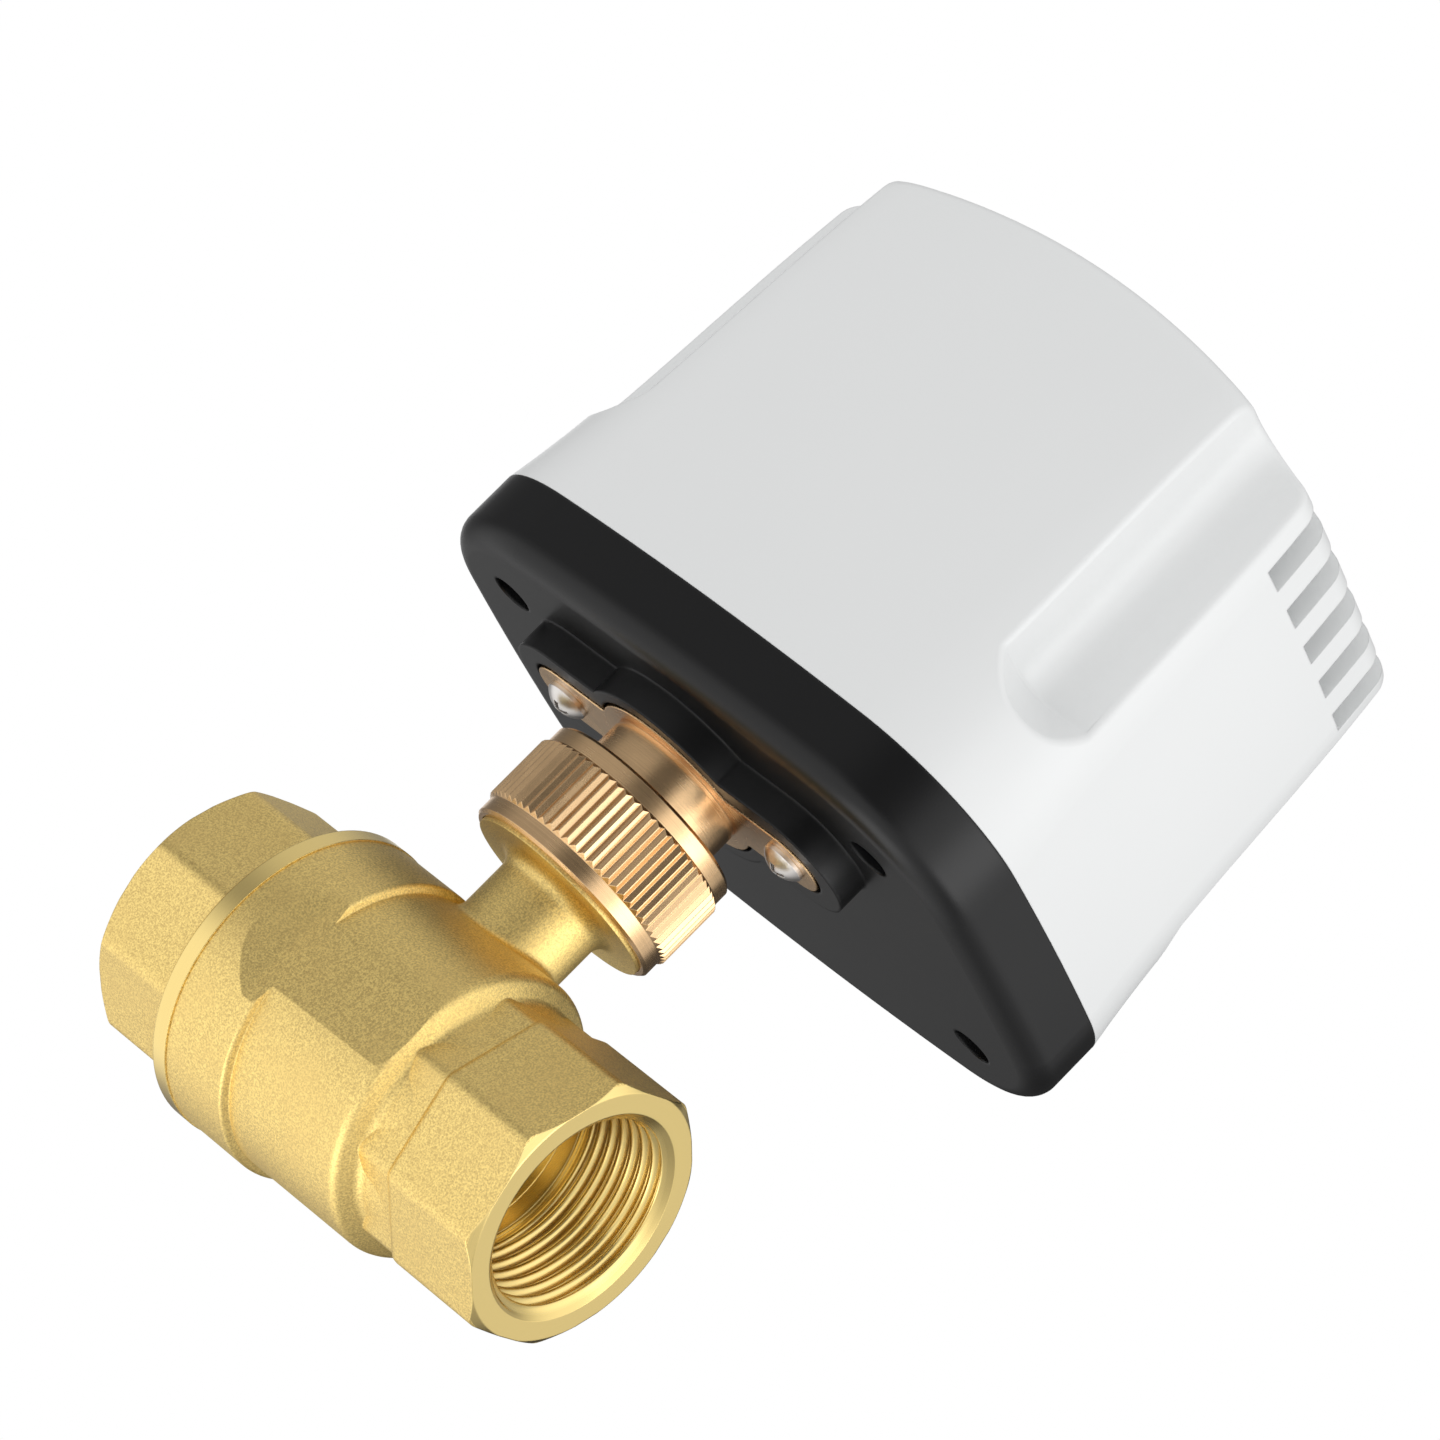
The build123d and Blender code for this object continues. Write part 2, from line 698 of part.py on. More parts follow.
def board_posts():
    """Four hexagonal posts over the upper plate, their studs reaching down into the base."""
    posts = []
    low = upper_plate_z + plate_thickness
    for x in post_x:
        for y in post_y:
            hexagon = Pos(x, y, low) * extrude(RegularPolygon(3.1, 6), board_z - low)
            post = hexagon + disc(1.49, base_bottom + 1.4, low + 1, x, y)
            posts.append(post - disc(1.25, board_z - 8, board_z + 1, x, y))
    return Compound(children=posts)


def inv(angle):
    """Involute function."""
    return tan(angle) - angle


def gear_blank(teeth, phase, bottom, top, x, y):
    """Spur gear with involute flanks; phase is the direction of one tooth in degrees."""
    pitch_r = gear_module * teeth / 2
    base_r = pitch_r * cos(radians(pressure_angle))
    tip_r = pitch_r + 0.8 * gear_module
    root_r = pitch_r - 1.05 * gear_module
    half = (pi * gear_module / 4 - flank_play) / pitch_r + inv(radians(pressure_angle))
    start_r = max(root_r, base_r + 0.01)

    def point(r, a):
        return (r * cos(a), r * sin(a))

    def flank_angle(r):
        return half - inv(acos(base_r / r))

    radii = [start_r + (tip_r - start_r) * k / 3 for k in range(4)]
    root_half = flank_angle(start_r)
    line = None
    for k in range(teeth):
        a = radians(phase) + 2 * pi * k / teeth
        gap = a + pi / teeth
        nxt = a + 2 * pi / teeth
        rise = Spline(*[point(r, a - flank_angle(r)) for r in radii])
        tip = ThreePointArc(rise @ 1, point(tip_r, a), point(tip_r, a + flank_angle(tip_r)))
        fall = Spline(*[point(r, a + flank_angle(r)) for r in reversed(radii)])
        tooth = rise + tip + fall
        foot = point(root_r, a + root_half)
        heel = point(root_r, nxt - root_half)
        if start_r > root_r:
            tooth += Line(fall @ 1, foot)
        tooth += ThreePointArc(foot, point(root_r, gap), heel)
        if start_r > root_r:
            tooth += Line(heel, point(start_r, nxt - root_half))
        line = tooth if line is None else line + tooth
    return Pos(x, y, bottom) * extrude(make_face(line), top - bottom)


def mesh_phases():
    """Tooth directions for each meshing pair: a tooth of one faces a gap of the other."""
    phases = []
    for k, angle in enumerate(mesh_angles):
        phases.append((angle, angle + 180 + 180 / pinion_teeth))
    return phases


def cluster(index):
    """Gear cluster of one arbor: pinion below, wheel above, on a common hub."""
    x, y = shaft_places()[index]
    pinion_phase = mesh_phases()[index - 1][1]
    wheel_phase = mesh_phases()[index][0]
    part = disc(hub_r, lower_plate_z + plate_thickness + 0.1, upper_plate_z - 0.1, x, y)
    part += gear_blank(pinion_teeth, pinion_phase, layer_z[index - 1], layer_top[index - 1], x, y)
    part += gear_blank(wheel_teeth, wheel_phase, layer_z[index], layer_top[index], x, y)
    return part - disc(arbor_r + 0.04, 50, 80, x, y)


def double_flat(radius, flat, bottom, top):
    """Round bar with two flats across Y."""
    return disc(radius, bottom, top) & block(-20, 20, -flat, flat, bottom - 1, top + 1)


def output_gear():
    """Large gear seated on the shaft's flats."""
    gear = gear_blank(output_teeth, mesh_phases()[0][0], layer_z[0], layer_top[0], 0, 0)
    for k in range(6):
        a = radians(60 * k + 5)
        gear -= disc(2.6, 50, 70, 9.3 * cos(a), 9.3 * sin(a))
    return gear - double_flat(shaft_seat_r + 0.02, shaft_seat_flat + 0.02, 50, 70)


def output_shaft():
    """Shaft from the valve stem's flats up through gear, plates and cams."""
    part = disc(shaft_r, 34.4, 58.4) + double_flat(shaft_seat_r, shaft_seat_flat, 58, 62.6)
    part += double_flat(shaft_top_r, shaft_top_flat, 62, shaft_top_z) + disc(shaft_top_r, 62, 74.2)
    part -= tube(shaft_top_r + 1, shaft_top_r - 0.6, 88.1, 88.9)
    return part - double_flat(stem_r + fit_gap, 3.15, 34, stem_top + 0.2)


def output_bush():
    """Bearing sleeve in the base around the output shaft."""
    return tube(8.03, shaft_r + fit_gap, flange_back_z + 0.05, lower_plate_z - 0.1)


def cam(bottom, lobe_angle, hub_top):
    """Trip cam: a round blank with one raised lobe, and a collar above it."""
    a = radians(lobe_angle)
    lobe = Circle(cam_r) + Pos(4.6 * cos(a), 4.6 * sin(a)) * Circle(cam_lobe_r - 4.6)
    part = Pos(0, 0, bottom) * extrude(lobe, 3.0)
    part += disc(4.8, bottom, hub_top)
    return part - double_flat(shaft_top_r + 0.02, shaft_top_flat + 0.02, 60, 100)


def lower_cam():
    """Cam of the lower switch with a sleeve down to the gear plate."""
    return cam(cam_z[0], 100, cam_z[1] - 0.1) + tube(4.8, shaft_top_r + 0.02, 74.3, cam_z[0])


def upper_cam():
    """Cam of the upper switch."""
    return cam(cam_z[1], -71, 88.0)


def shaft_clip():
    """Spring clip in the groove over the cams, open to one side."""
    ring = tube(4.7, shaft_top_r - 0.55, 88.15, 88.85)
    return ring - block(0, 10, -1.6, 1.6, 87, 90)


def switch_screw_places():
    """Axes of the two screws through the switches."""
    return [(switch_left + 3.0, switch_front + 7.5), (switch_right - 3.0, switch_front + 7.5)]


def switch_bodies():
    """Two stacked limit switches with plunger holes and contacts at the back."""
    bodies = []
    for z in switch_z:
        body = block(switch_left, switch_right, switch_front, switch_front + 10, z, z + 6.4)
        body = chamfer(body.edges().filter_by(Axis.Z), 0.4)
        body -= Pos(14.0, switch_front + 2, z + 3.2) * Rot(90, 0, 0) * Cylinder(0.9, 6)
        for x, y in switch_screw_places():
            body -= disc(1.05, z - 1, z + 8, x, y)
        for k in range(3):
            x = switch_left + 3.5 + 6.5 * k
            body += block(x - 0.4, x + 0.4, switch_front + 9, switch_front + 13.5, z + 1.7, z + 4.7)
        bodies.append(body)
    feet = [tube(2.2, 1.05, upper_plate_z + plate_thickness, switch_z[0], x, y)
            for x, y in switch_screw_places()]
    return Compound(children=bodies + feet)


def switch_screws():
    """Two long screws through both switches into the upper plate."""
    screws = []
    for x, y in switch_screw_places():
        top = switch_z[1] + 6.42
        screws.append(Pos(x, y, top) * Rot(180, 0, 0) * pan_screw(0.98, 1.9, 1.3, top - upper_plate_z - 0.1))
    return Compound(children=screws)


def switch_lever(z):
    """Thin lever in front of a switch, bent at its tip, with a hinge pin."""
    arm = block(4.5, 21.0, 9.35, 9.75, z + 1.6, z + 4.8)
    tip = block(4.2, 4.8, 7.4, 9.6, z + 1.6, z + 4.8) + Pos(4.5, 7.4, z + 3.2) * Cylinder(0.6, 3.2)
    pin = Pos(21.0, 9.55, z + 3.2) * Cylinder(0.5, 5.0)
    return arm + tip + pin


def switch_plunger(z):
    """Small pin between a lever and its switch."""
    return Pos(14.0, 11.2, z + 3.2) * Rot(90, 0, 0) * Cylinder(0.84, 2.8)


def motor_screw_places():
    """Axes of the two screws beside the motor."""
    mx, my = shaft_places()[4]
    a = radians(100)
    reach = motor_screw_reach
    return [(mx + s * reach * cos(a), my + s * reach * sin(a)) for s in (-1, 1)]


def motor_lid():
    """Motor's bottom plate with two ears and the shaft bearing hole."""
    mx, my = shaft_places()[4]
    plate = disc(motor_r, motor_bottom, motor_bottom + 1, mx, my)
    for x, y in motor_screw_places():
        plate += disc(2.6, motor_bottom, motor_bottom + 1, x, y)
        plate -= disc(1.05, 70, 80, x, y)
    return plate - disc(1.05, 70, 80, mx, my)


def motor_can():
    """Drawn steel cup of the motor."""
    mx, my = shaft_places()[4]
    can = disc(motor_r, motor_bottom + 1, motor_top, mx, my)
    can = fillet(can.edges().sort_by(Axis.Z)[-1], 1.2)
    can -= disc(motor_r - 0.8, motor_bottom, motor_top - 0.8, mx, my)
    return can - disc(1.05, 80, 100, mx, my)


def coil_bobbin():
    """Wound stator ring: two flanges with the coil between them."""
    mx, my = shaft_places()[4]
    rings = [tube(13.4, 7.2, z, z + 1.0, mx, my) for z in (75.2, 82.2, 89.6)]
    coil = tube(12.6, 7.2, 76, 90, mx, my)
    return coil + rings


def motor_screws():
    """Two screws through the motor's ears."""
    screw = Rot(180, 0, 0) * pan_screw(0.98, 1.9, 1.3, 2.4)
    return Compound(children=[Pos(x, y, motor_bottom + 1.02) * screw for x, y in motor_screw_places()])


def rotor_magnet():
    """Magnet sleeve on the rotor shaft."""
    mx, my = shaft_places()[4]
    return tube(rotor_r, rotor_shaft_r + 0.02, 76.0, 90.2, mx, my)


def rotor_shaft():
    """Thin shaft of the motor."""
    mx, my = shaft_places()[4]
    return disc(rotor_shaft_r, layer_z[3] - 0.2, motor_top + 1.0, mx, my)


def motor_pinion():
    """Small gear on the rotor shaft."""
    mx, my = shaft_places()[4]
    gear = gear_blank(pinion_teeth, mesh_phases()[3][1], layer_z[3], layer_top[3], mx, my)
    return gear - disc(rotor_shaft_r + 0.02, 60, 80, mx, my)


def circuit_board():
    """Control board on the posts."""
    board = block(-26.5, 27.0, -10, 38.6, board_z, board_z + 1.6)
    board = fillet(board.edges().filter_by(Axis.Z), 3)
    for x in post_x:
        for y in post_y:
            board -= disc(1.6, 90, 100, x, y)
    return board


def board_screws():
    """Four screws that hold the board on its posts."""
    screw = Rot(180, 0, 0) * pan_screw(1.24, 2.4, 1.6, 6.0)
    return Compound(children=[Pos(x, y, board_z + 1.62) * screw for x in post_x for y in post_y])


def board_components():
    """Relay, capacitors, a driver chip and a power module on the board."""
    z = board_z + 1.6
    relay = chamfer(block(-16, 2, 2, 14, z, z + 10.5).edges().filter_by(Axis.Z), 0.5)
    module = chamfer(block(6, 20, -5, 9, z, z + 8).edges().filter_by(Axis.Z), 0.5)
    chip = block(8, 16, 14, 19, z, z + 1.6)
    caps = [disc(3.5, z, z + 9, x, 20) for x in (-16, -7)]
    return Compound(children=[relay, module, chip] + caps)


def terminal_block():
    """Five-way screw terminal with wire holes facing the gland."""
    z = board_z + 1.6
    part = block(-12.7, 12.7, 26, 34.5, z, z + 9.5)
    part = chamfer(part.edges().filter_by(Axis.X).sort_by(Axis.Z)[-2:], 1.0)
    for k in range(5):
        x = (k - 2) * 5.08
        part -= disc(1.75, z + 4.5, z + 12, x, 30)
        part -= Pos(x, 33, z + 3) * Box(3.2, 6, 3.0)
    return part


def terminal_screws():
    """Slotted screws of the terminal."""
    z = board_z + 6.3
    screws = []
    for k in range(5):
        x = (k - 2) * 5.08
        screws.append(disc(1.7, z, z + 2.6, x, 30) - block(x - 2, x + 2, 29.7, 30.3, z + 1.9, z + 4))
    return Compound(children=screws)


def along_y(radius, near, far):
    """A cylinder on the gland's axis between two distances along Y."""
    return Pos(case_x, (near + far) / 2, gland_z) * Rot(90, 0, 0) * Cylinder(radius, far - near)


def hex_along_y(corner_r, near, far):
    """A hexagonal bar on the gland's axis."""
    return Pos(case_x, far, gland_z) * Rot(90, 0, 0) * extrude(RegularPolygon(corner_r, 6), far - near)


def cable_gland_body():
    """Gland body: hexagon outside, threaded neck through the cover, threaded cap end."""
    part = hex_along_y(gland_hex_r, gland_face_y, gland_face_y + 5) & along_y(gland_hex_r - 0.4, 40, 60)
    part += along_y(gland_neck_r, 40.5, gland_face_y + 1)
    part += along_y(gland_cap_thread_r, gland_face_y + 4, gland_face_y + 10)
    part -= along_y(cable_r + 0.5, 40, 70)
    return part - along_y(gland_seal_r + fit_gap, gland_face_y + 3, 70)


def gland_lock_nut():
    """Hexagonal nut on the gland's neck inside the cover."""
    nut = hex_along_y(gland_hex_r, gland_face_y - 6.9, gland_face_y - 4.32)
    return nut - along_y(gland_neck_r + 0.02, 40, 50)


def gland_seal():
    """Rubber sleeve squeezed around the cable."""
    return along_y(gland_seal_r, gland_face_y + 3.1, gland_face_y + 11.5) - along_y(cable_r, 40, 70)


def gland_cap():
    """Domed cap nut with grip flats."""
    part = along_y(gland_cap_r, gland_face_y + 5.2, gland_face_y + gland_cap_length)
    part = fillet(part.edges().sort_by(Axis.Y)[-1], 2.5)
    part &= hex_along_y(gland_cap_hex_r, 50, 65)
    part -= along_y(gland_cap_thread_r + fit_gap, 50, gland_face_y + 10.2)
    part -= along_y(gland_seal_r + fit_gap, 50, gland_face_y + 11.8)
    return part - along_y(cable_r + 0.6, 50, 70)


def pieces():
    """Every node of the part by name."""
    return {
        "valve_body": valve_body(),
        "end_adapter": end_adapter(),
        "adapter_seal": adapter_seal(),
        "ball": ball(),
        "ball_seats": ball_seats(),
        "stem": stem(),
        "stem_seals": stem_seals(),
        "thrust_washer": thrust_washer(),
        "locating_pins": locating_pins(),
        "union_nut": union_nut(),
        "mounting_flange": mounting_flange(),
        "flange_screws": flange_screws(),
        "base": base(),
        "base_gasket": base_gasket(),
        "cover": cover(),
        "cover_screws": cover_screws(),
        "output_bush": output_bush(),
        "output_shaft": output_shaft(),
        "output_gear": output_gear(),
        "third_gear": cluster(1),
        "second_gear": cluster(2),
        "first_gear": cluster(3),
        "gear_arbors": gear_arbors(),
        "lower_gear_plate": lower_gear_plate(),
        "upper_gear_plate": upper_gear_plate(),
        "plate_spacers": plate_spacers(),
        "lower_cam": lower_cam(),
        "upper_cam": upper_cam(),
        "shaft_clip": shaft_clip(),
        "switch_bodies": switch_bodies(),
        "switch_screws": switch_screws(),
        "lower_lever": switch_lever(switch_z[0]),
        "upper_lever": switch_lever(switch_z[1]),
        "lower_plunger": switch_plunger(switch_z[0]),
        "upper_plunger": switch_plunger(switch_z[1]),
        "motor_lid": motor_lid(),
        "motor_can": motor_can(),
        "coil_bobbin": coil_bobbin(),
        "motor_screws": motor_screws(),
        "rotor_magnet": rotor_magnet(),
        "rotor_shaft": rotor_shaft(),
        "motor_pinion": motor_pinion(),
        "circuit_board": circuit_board(),
        "board_posts": board_posts(),
        "board_screws": board_screws(),
        "board_components": board_components(),
        "terminal_block": terminal_block(),
        "terminal_screws": terminal_screws(),
        "cable_gland_body": cable_gland_body(),
        "gland_lock_nut": gland_lock_nut(),
        "gland_seal": gland_seal(),
        "gland_cap": gland_cap(),
    }


def main():
    os.makedirs("parts", exist_ok=True)
    for name, shape in pieces().items():
        save(name, shape)


main()
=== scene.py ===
import json
import math

import bmesh
import bpy
from bpy.props import FloatProperty, FloatVectorProperty, IntProperty, PointerProperty
from mathutils import Matrix, Vector


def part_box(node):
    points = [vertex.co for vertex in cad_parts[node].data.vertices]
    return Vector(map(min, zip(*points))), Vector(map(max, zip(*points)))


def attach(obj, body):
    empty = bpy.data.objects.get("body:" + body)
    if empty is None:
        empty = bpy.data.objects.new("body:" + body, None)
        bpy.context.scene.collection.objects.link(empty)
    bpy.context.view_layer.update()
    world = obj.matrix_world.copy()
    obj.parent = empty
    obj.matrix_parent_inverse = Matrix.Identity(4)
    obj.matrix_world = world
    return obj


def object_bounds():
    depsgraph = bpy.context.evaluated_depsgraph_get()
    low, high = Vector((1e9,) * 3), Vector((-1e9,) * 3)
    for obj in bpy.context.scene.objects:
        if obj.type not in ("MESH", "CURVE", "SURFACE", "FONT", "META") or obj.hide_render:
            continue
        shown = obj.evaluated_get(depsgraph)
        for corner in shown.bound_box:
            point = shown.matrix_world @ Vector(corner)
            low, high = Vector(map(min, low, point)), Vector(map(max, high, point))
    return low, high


bl_info = {
    "name": "Motorized Ball Valve",
    "version": (1, 0, 0),
    "blender": (4, 5, 0),
    "location": "View3D > Sidebar > Ball Valve",
    "description": "Finishes and fine detail of a brass ball valve with an electric actuator",
    "category": "Object",
}

MM = 0.001

# Places and sizes that the looks hang on, read from the part.
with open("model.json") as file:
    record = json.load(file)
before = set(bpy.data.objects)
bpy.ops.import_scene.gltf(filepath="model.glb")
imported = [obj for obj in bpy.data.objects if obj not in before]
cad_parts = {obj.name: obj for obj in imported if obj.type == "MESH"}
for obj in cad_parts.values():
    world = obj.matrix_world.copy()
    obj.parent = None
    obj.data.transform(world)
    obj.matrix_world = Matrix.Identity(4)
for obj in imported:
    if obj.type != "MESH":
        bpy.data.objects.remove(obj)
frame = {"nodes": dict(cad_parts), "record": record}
cad_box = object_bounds()
nodes = frame["nodes"]
mounts = {mount["name"]: mount for mount in frame["record"]["mounts"]}
inlet_x = mounts["inlet_port"]["pos_m"][0]
outlet_x = mounts["outlet_port"]["pos_m"][0]
stem_x = (inlet_x + outlet_x) / 2
valve_half = (outlet_x - inlet_x) / 2
thread_major_r = mounts["outlet_port"]["dims"]["r_mm"] / 1000
thread_length = mounts["outlet_port"]["dims"]["length_mm"] / 1000
flange_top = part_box("mounting_flange")[1].z
adapter_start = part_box("end_adapter")[0].x
body_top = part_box("valve_body")[1].z

# Fixed proportions of the thread.
ROOT_GAP = 0.02 * MM
RIDGE_SHARPNESS = 1.1
MOUTH_SLOPE = 1.45
PROFILE_STEPS = 16

WHITE = (1.0, 1.0, 1.0)

# What bright metal mirrors in the dim room: direction in the part's frame, the angles in
# degrees at which a card is full and gone, and its brightness.
MIRRORED_CARDS = (
    ((-0.97, 0.25, 0.10), 15, 45, 0.18),
    ((-0.20, -0.20, 0.96), 20, 60, 0.70),
    ((-0.15, -0.35, -0.92), 45, 80, 1.15),
    ((0.50, 0.85, 0.15), 15, 45, 0.66),
    ((0.93, -0.05, 0.36), 26, 60, 1.35),
    ((-0.10, 0.98, 0.00), 22, 40, 0.05),
    ((0.57, 0.81, 0.15), 6, 18, 0.80),
    ((-0.70, 0.70, 0.17), 6, 16, 1.00),
    ((0.46, -0.88, 0.12), 14, 30, 0.12),
)


class ThreadSizes(bpy.types.PropertyGroup):
    """Pipe thread cut in both ports."""
    pitch: FloatProperty(
        name="Pitch", description="Distance from ridge to ridge", default=1.814 * MM, unit="LENGTH")
    depth: FloatProperty(
        name="Depth", description="Height of a ridge over its groove", default=0.98 * MM, unit="LENGTH")
    mouth: FloatProperty(
        name="Mouth", description="Countersink's radius over the thread's", default=0.46 * MM, unit="LENGTH")
    steps: IntProperty(
        name="Steps", description="Segments in one turn", default=96, min=24)
    fade: FloatProperty(
        name="Fade", description="Turns over which the last ridge dies", default=0.8)


class BrassLook(bpy.types.PropertyGroup):
    """Golden cast brass with machined faces."""
    cast: FloatVectorProperty(
        name="Cast colour", description="Sandblasted skin", subtype="COLOR", default=(0.90, 0.65, 0.24))
    cut: FloatVectorProperty(
        name="Cut colour", description="Machined faces and bores", subtype="COLOR",
        default=(0.90, 0.69, 0.27))
    grain: FloatProperty(
        name="Grain", description="Size of the blasted grain", default=0.24 * MM, unit="LENGTH")
    grain_height: FloatProperty(
        name="Grain height", description="Depth of the grain", default=0.05 * MM, unit="LENGTH")


class MachinedPlaces(bpy.types.PropertyGroup):
    """Where the castings are machined."""
    face_band: FloatProperty(
        name="Face band", description="Depth of the bright end faces", default=0.72 * MM, unit="LENGTH")
    bore_skin: FloatProperty(
        name="Bore skin", description="Bright depth around the threads", default=0.35 * MM, unit="LENGTH")
    collar_start: FloatProperty(
        name="Collar start", description="From the inlet's face to the polished ring",
        default=14.6 * MM, unit="LENGTH")
    collar_width: FloatProperty(
        name="Collar width", description="Length of the polished ring", default=2.5 * MM, unit="LENGTH")
    collar_r: FloatProperty(
        name="Collar radius", description="Radius where the ring's polish starts",
        default=18.2 * MM, unit="LENGTH")
    neck_height: FloatProperty(
        name="Neck height", description="Bright part of the neck, from its top down",
        default=6.0 * MM, unit="LENGTH")


class BronzeLook(bpy.types.PropertyGroup):
    """Rose-coloured turned bronze of the union nut and flange."""
    turned: FloatVectorProperty(
        name="Turned colour", description="Turned faces", subtype="COLOR", default=(0.88, 0.59, 0.32))
    line: FloatProperty(
        name="Tool line", description="Spacing of the turning lines", default=0.12 * MM, unit="LENGTH")
    plate: FloatProperty(
        name="Plate", description="Height of the flange's sheared rim", default=3.4 * MM, unit="LENGTH")
    spigot_r: FloatProperty(
        name="Spigot radius", description="Radius outside which the rim lies",
        default=10.0 * MM, unit="LENGTH")


class CaseLook(bpy.types.PropertyGroup):
    """Moulded plastics of the actuator's case."""
    grey: FloatVectorProperty(
        name="Cover colour", description="Light grey cover", subtype="COLOR", default=(0.80, 0.81, 0.81))
    black: FloatVectorProperty(
        name="Base colour", description="Black base", subtype="COLOR", default=(0.003, 0.003, 0.0033))


class SmallPartColours(bpy.types.PropertyGroup):
    """Colours of the small parts, most of them inside."""
    chrome: FloatVectorProperty(
        name="Ball", description="Chromed ball", subtype="COLOR",
        default=(0.80, 0.81, 0.83))
    seat: FloatVectorProperty(
        name="Seats", description="Ball seats, washer and bush", subtype="COLOR",
        default=(0.85, 0.85, 0.82))
    rubber: FloatVectorProperty(
        name="Seals", description="Rubber of the seals and the gasket", subtype="COLOR",
        default=(0.02, 0.02, 0.02))
    steel: FloatVectorProperty(
        name="Steel", description="Screws, pins, arbors and levers", subtype="COLOR",
        default=(0.78, 0.75, 0.72))
    zinc: FloatVectorProperty(
        name="Zinc", description="Gear plates and motor can", subtype="COLOR",
        default=(0.60, 0.61, 0.62))
    sintered: FloatVectorProperty(
        name="Metal gears", description="Output gear, third gear and pinion", subtype="COLOR",
        default=(0.62, 0.48, 0.26))
    nylon: FloatVectorProperty(
        name="Plastic gears", description="First and second gear, upper cam", subtype="COLOR",
        default=(0.82, 0.79, 0.70))
    dark: FloatVectorProperty(
        name="Dark parts", description="Switches, lower cam and board parts", subtype="COLOR",
        default=(0.02, 0.02, 0.022))
    magnet: FloatVectorProperty(
        name="Magnet", description="Rotor magnet", subtype="COLOR",
        default=(0.16, 0.16, 0.17))
    terminal: FloatVectorProperty(
        name="Terminal", description="Terminal block and plungers", subtype="COLOR",
        default=(0.02, 0.24, 0.08))
    gland: FloatVectorProperty(
        name="Gland", description="Cable gland", subtype="COLOR",
        default=(0.018, 0.018, 0.02))
    # Darker wire colour between the turns is painted shade.
    copper_painted_groove_shade: FloatVectorProperty(
        name="Wire groove", description="Coil between its turns", subtype="COLOR",
        default=(0.34, 0.12, 0.04))
    copper_crest: FloatVectorProperty(
        name="Wire", description="Coil on its turns", subtype="COLOR",
        default=(0.78, 0.36, 0.16))
    board: FloatVectorProperty(
        name="Board", description="Lacquer over bare board", subtype="COLOR",
        default=(0.012, 0.10, 0.04))
    track: FloatVectorProperty(
        name="Track", description="Lacquer over copper tracks", subtype="COLOR",
        default=(0.03, 0.20, 0.08))


class StudioLook(bpy.types.PropertyGroup):
    """Camera, light and floor."""
    target: FloatVectorProperty(
        name="Target", description="Point that the camera looks at", subtype="XYZ", unit="LENGTH",
        default=(26.81 * MM, 7.82 * MM, 58.0 * MM))
    azimuth: FloatProperty(
        name="Azimuth", description="Camera turn about the stem", default=math.radians(35.909),
        subtype="ANGLE")
    elevation: FloatProperty(
        name="Elevation", description="Camera height angle", default=math.radians(-11.694),
        subtype="ANGLE")
    roll: FloatProperty(
        name="Roll", description="Camera turn about its own axis", default=math.radians(44.853),
        subtype="ANGLE")
    distance: FloatProperty(
        name="Distance", description="Camera to object", default=0.8935, unit="LENGTH")
    lens: FloatProperty(
        name="Lens", description="Focal length in millimetres", default=189.2)
    key: FloatProperty(
        name="Key light", description="Power of the soft box beside the outlet", default=2.0)
    fill: FloatProperty(
        name="Fill light", description="Power of the soft box under the valve", default=2.0)
    key_place: FloatVectorProperty(
        name="Key place", description="From the valve's middle, to the camera's right, up and back",
        subtype="XYZ", unit="LENGTH", default=(0.75, -0.5, 0.45))
    fill_place: FloatVectorProperty(
        name="Fill place", description="From the valve's middle, to the camera's right, up and back",
        subtype="XYZ", unit="LENGTH", default=(-0.6, -0.7, 0.45))
    box: FloatProperty(
        name="Soft box", description="Side of both soft boxes", default=0.6, unit="LENGTH")
    sky: FloatProperty(
        name="Sky", description="Strength of the even light", default=0.88)
    dim: FloatProperty(
        name="Dim room", description="Brightness that metal mirrors between the cards", default=0.35)
    floor_gap: FloatProperty(
        name="Floor gap", description="Room between valve and floor", default=0.5 * MM, unit="LENGTH")
    floor_half: FloatProperty(
        name="Floor half", description="Half the floor's side", default=3.0, unit="LENGTH")
    floor_dark: FloatVectorProperty(
        name="Floor", description="Darker spots of the floor", subtype="COLOR", default=(0.90, 0.90, 0.90))
    floor_pale: FloatVectorProperty(
        name="Floor spots", description="Paler spots of the floor", subtype="COLOR",
        default=(0.92, 0.92, 0.92))


class BallValveLook(bpy.types.PropertyGroup):
    """All the values that a user would change."""
    thread: PointerProperty(type=ThreadSizes)
    brass: PointerProperty(type=BrassLook)
    machined: PointerProperty(type=MachinedPlaces)
    bronze: PointerProperty(type=BronzeLook)
    case: PointerProperty(type=CaseLook)
    small: PointerProperty(type=SmallPartColours)
    studio: PointerProperty(type=StudioLook)


class Value:
    """A node's socket; arithmetic on it adds Math nodes."""

    def __init__(self, finish, socket):
        self.finish = finish
        self.socket = socket

    def _math(self, operation, *values):
        made = self.finish.add("ShaderNodeMath", {"operation": operation}, dict(enumerate(values)))
        return made[0]

    def __add__(self, other):
        return self._math("ADD", self, other)

    def __sub__(self, other):
        return self._math("SUBTRACT", self, other)

    def __rsub__(self, other):
        return self._math("SUBTRACT", other, self)

    def __mul__(self, other):
        return self._math("MULTIPLY", self, other)

    def __pow__(self, other):
        return self._math("POWER", self, other)

    def __abs__(self):
        return self._math("ABSOLUTE", self)

    __radd__ = __add__
    __rmul__ = __mul__


class Placed:
    """A node that has been added; an index or a name gives one of its outputs."""

    def __init__(self, finish, node):
        self.finish = finish
        self.node = node

    def __getitem__(self, key):
        return Value(self.finish, self.node.outputs[key])


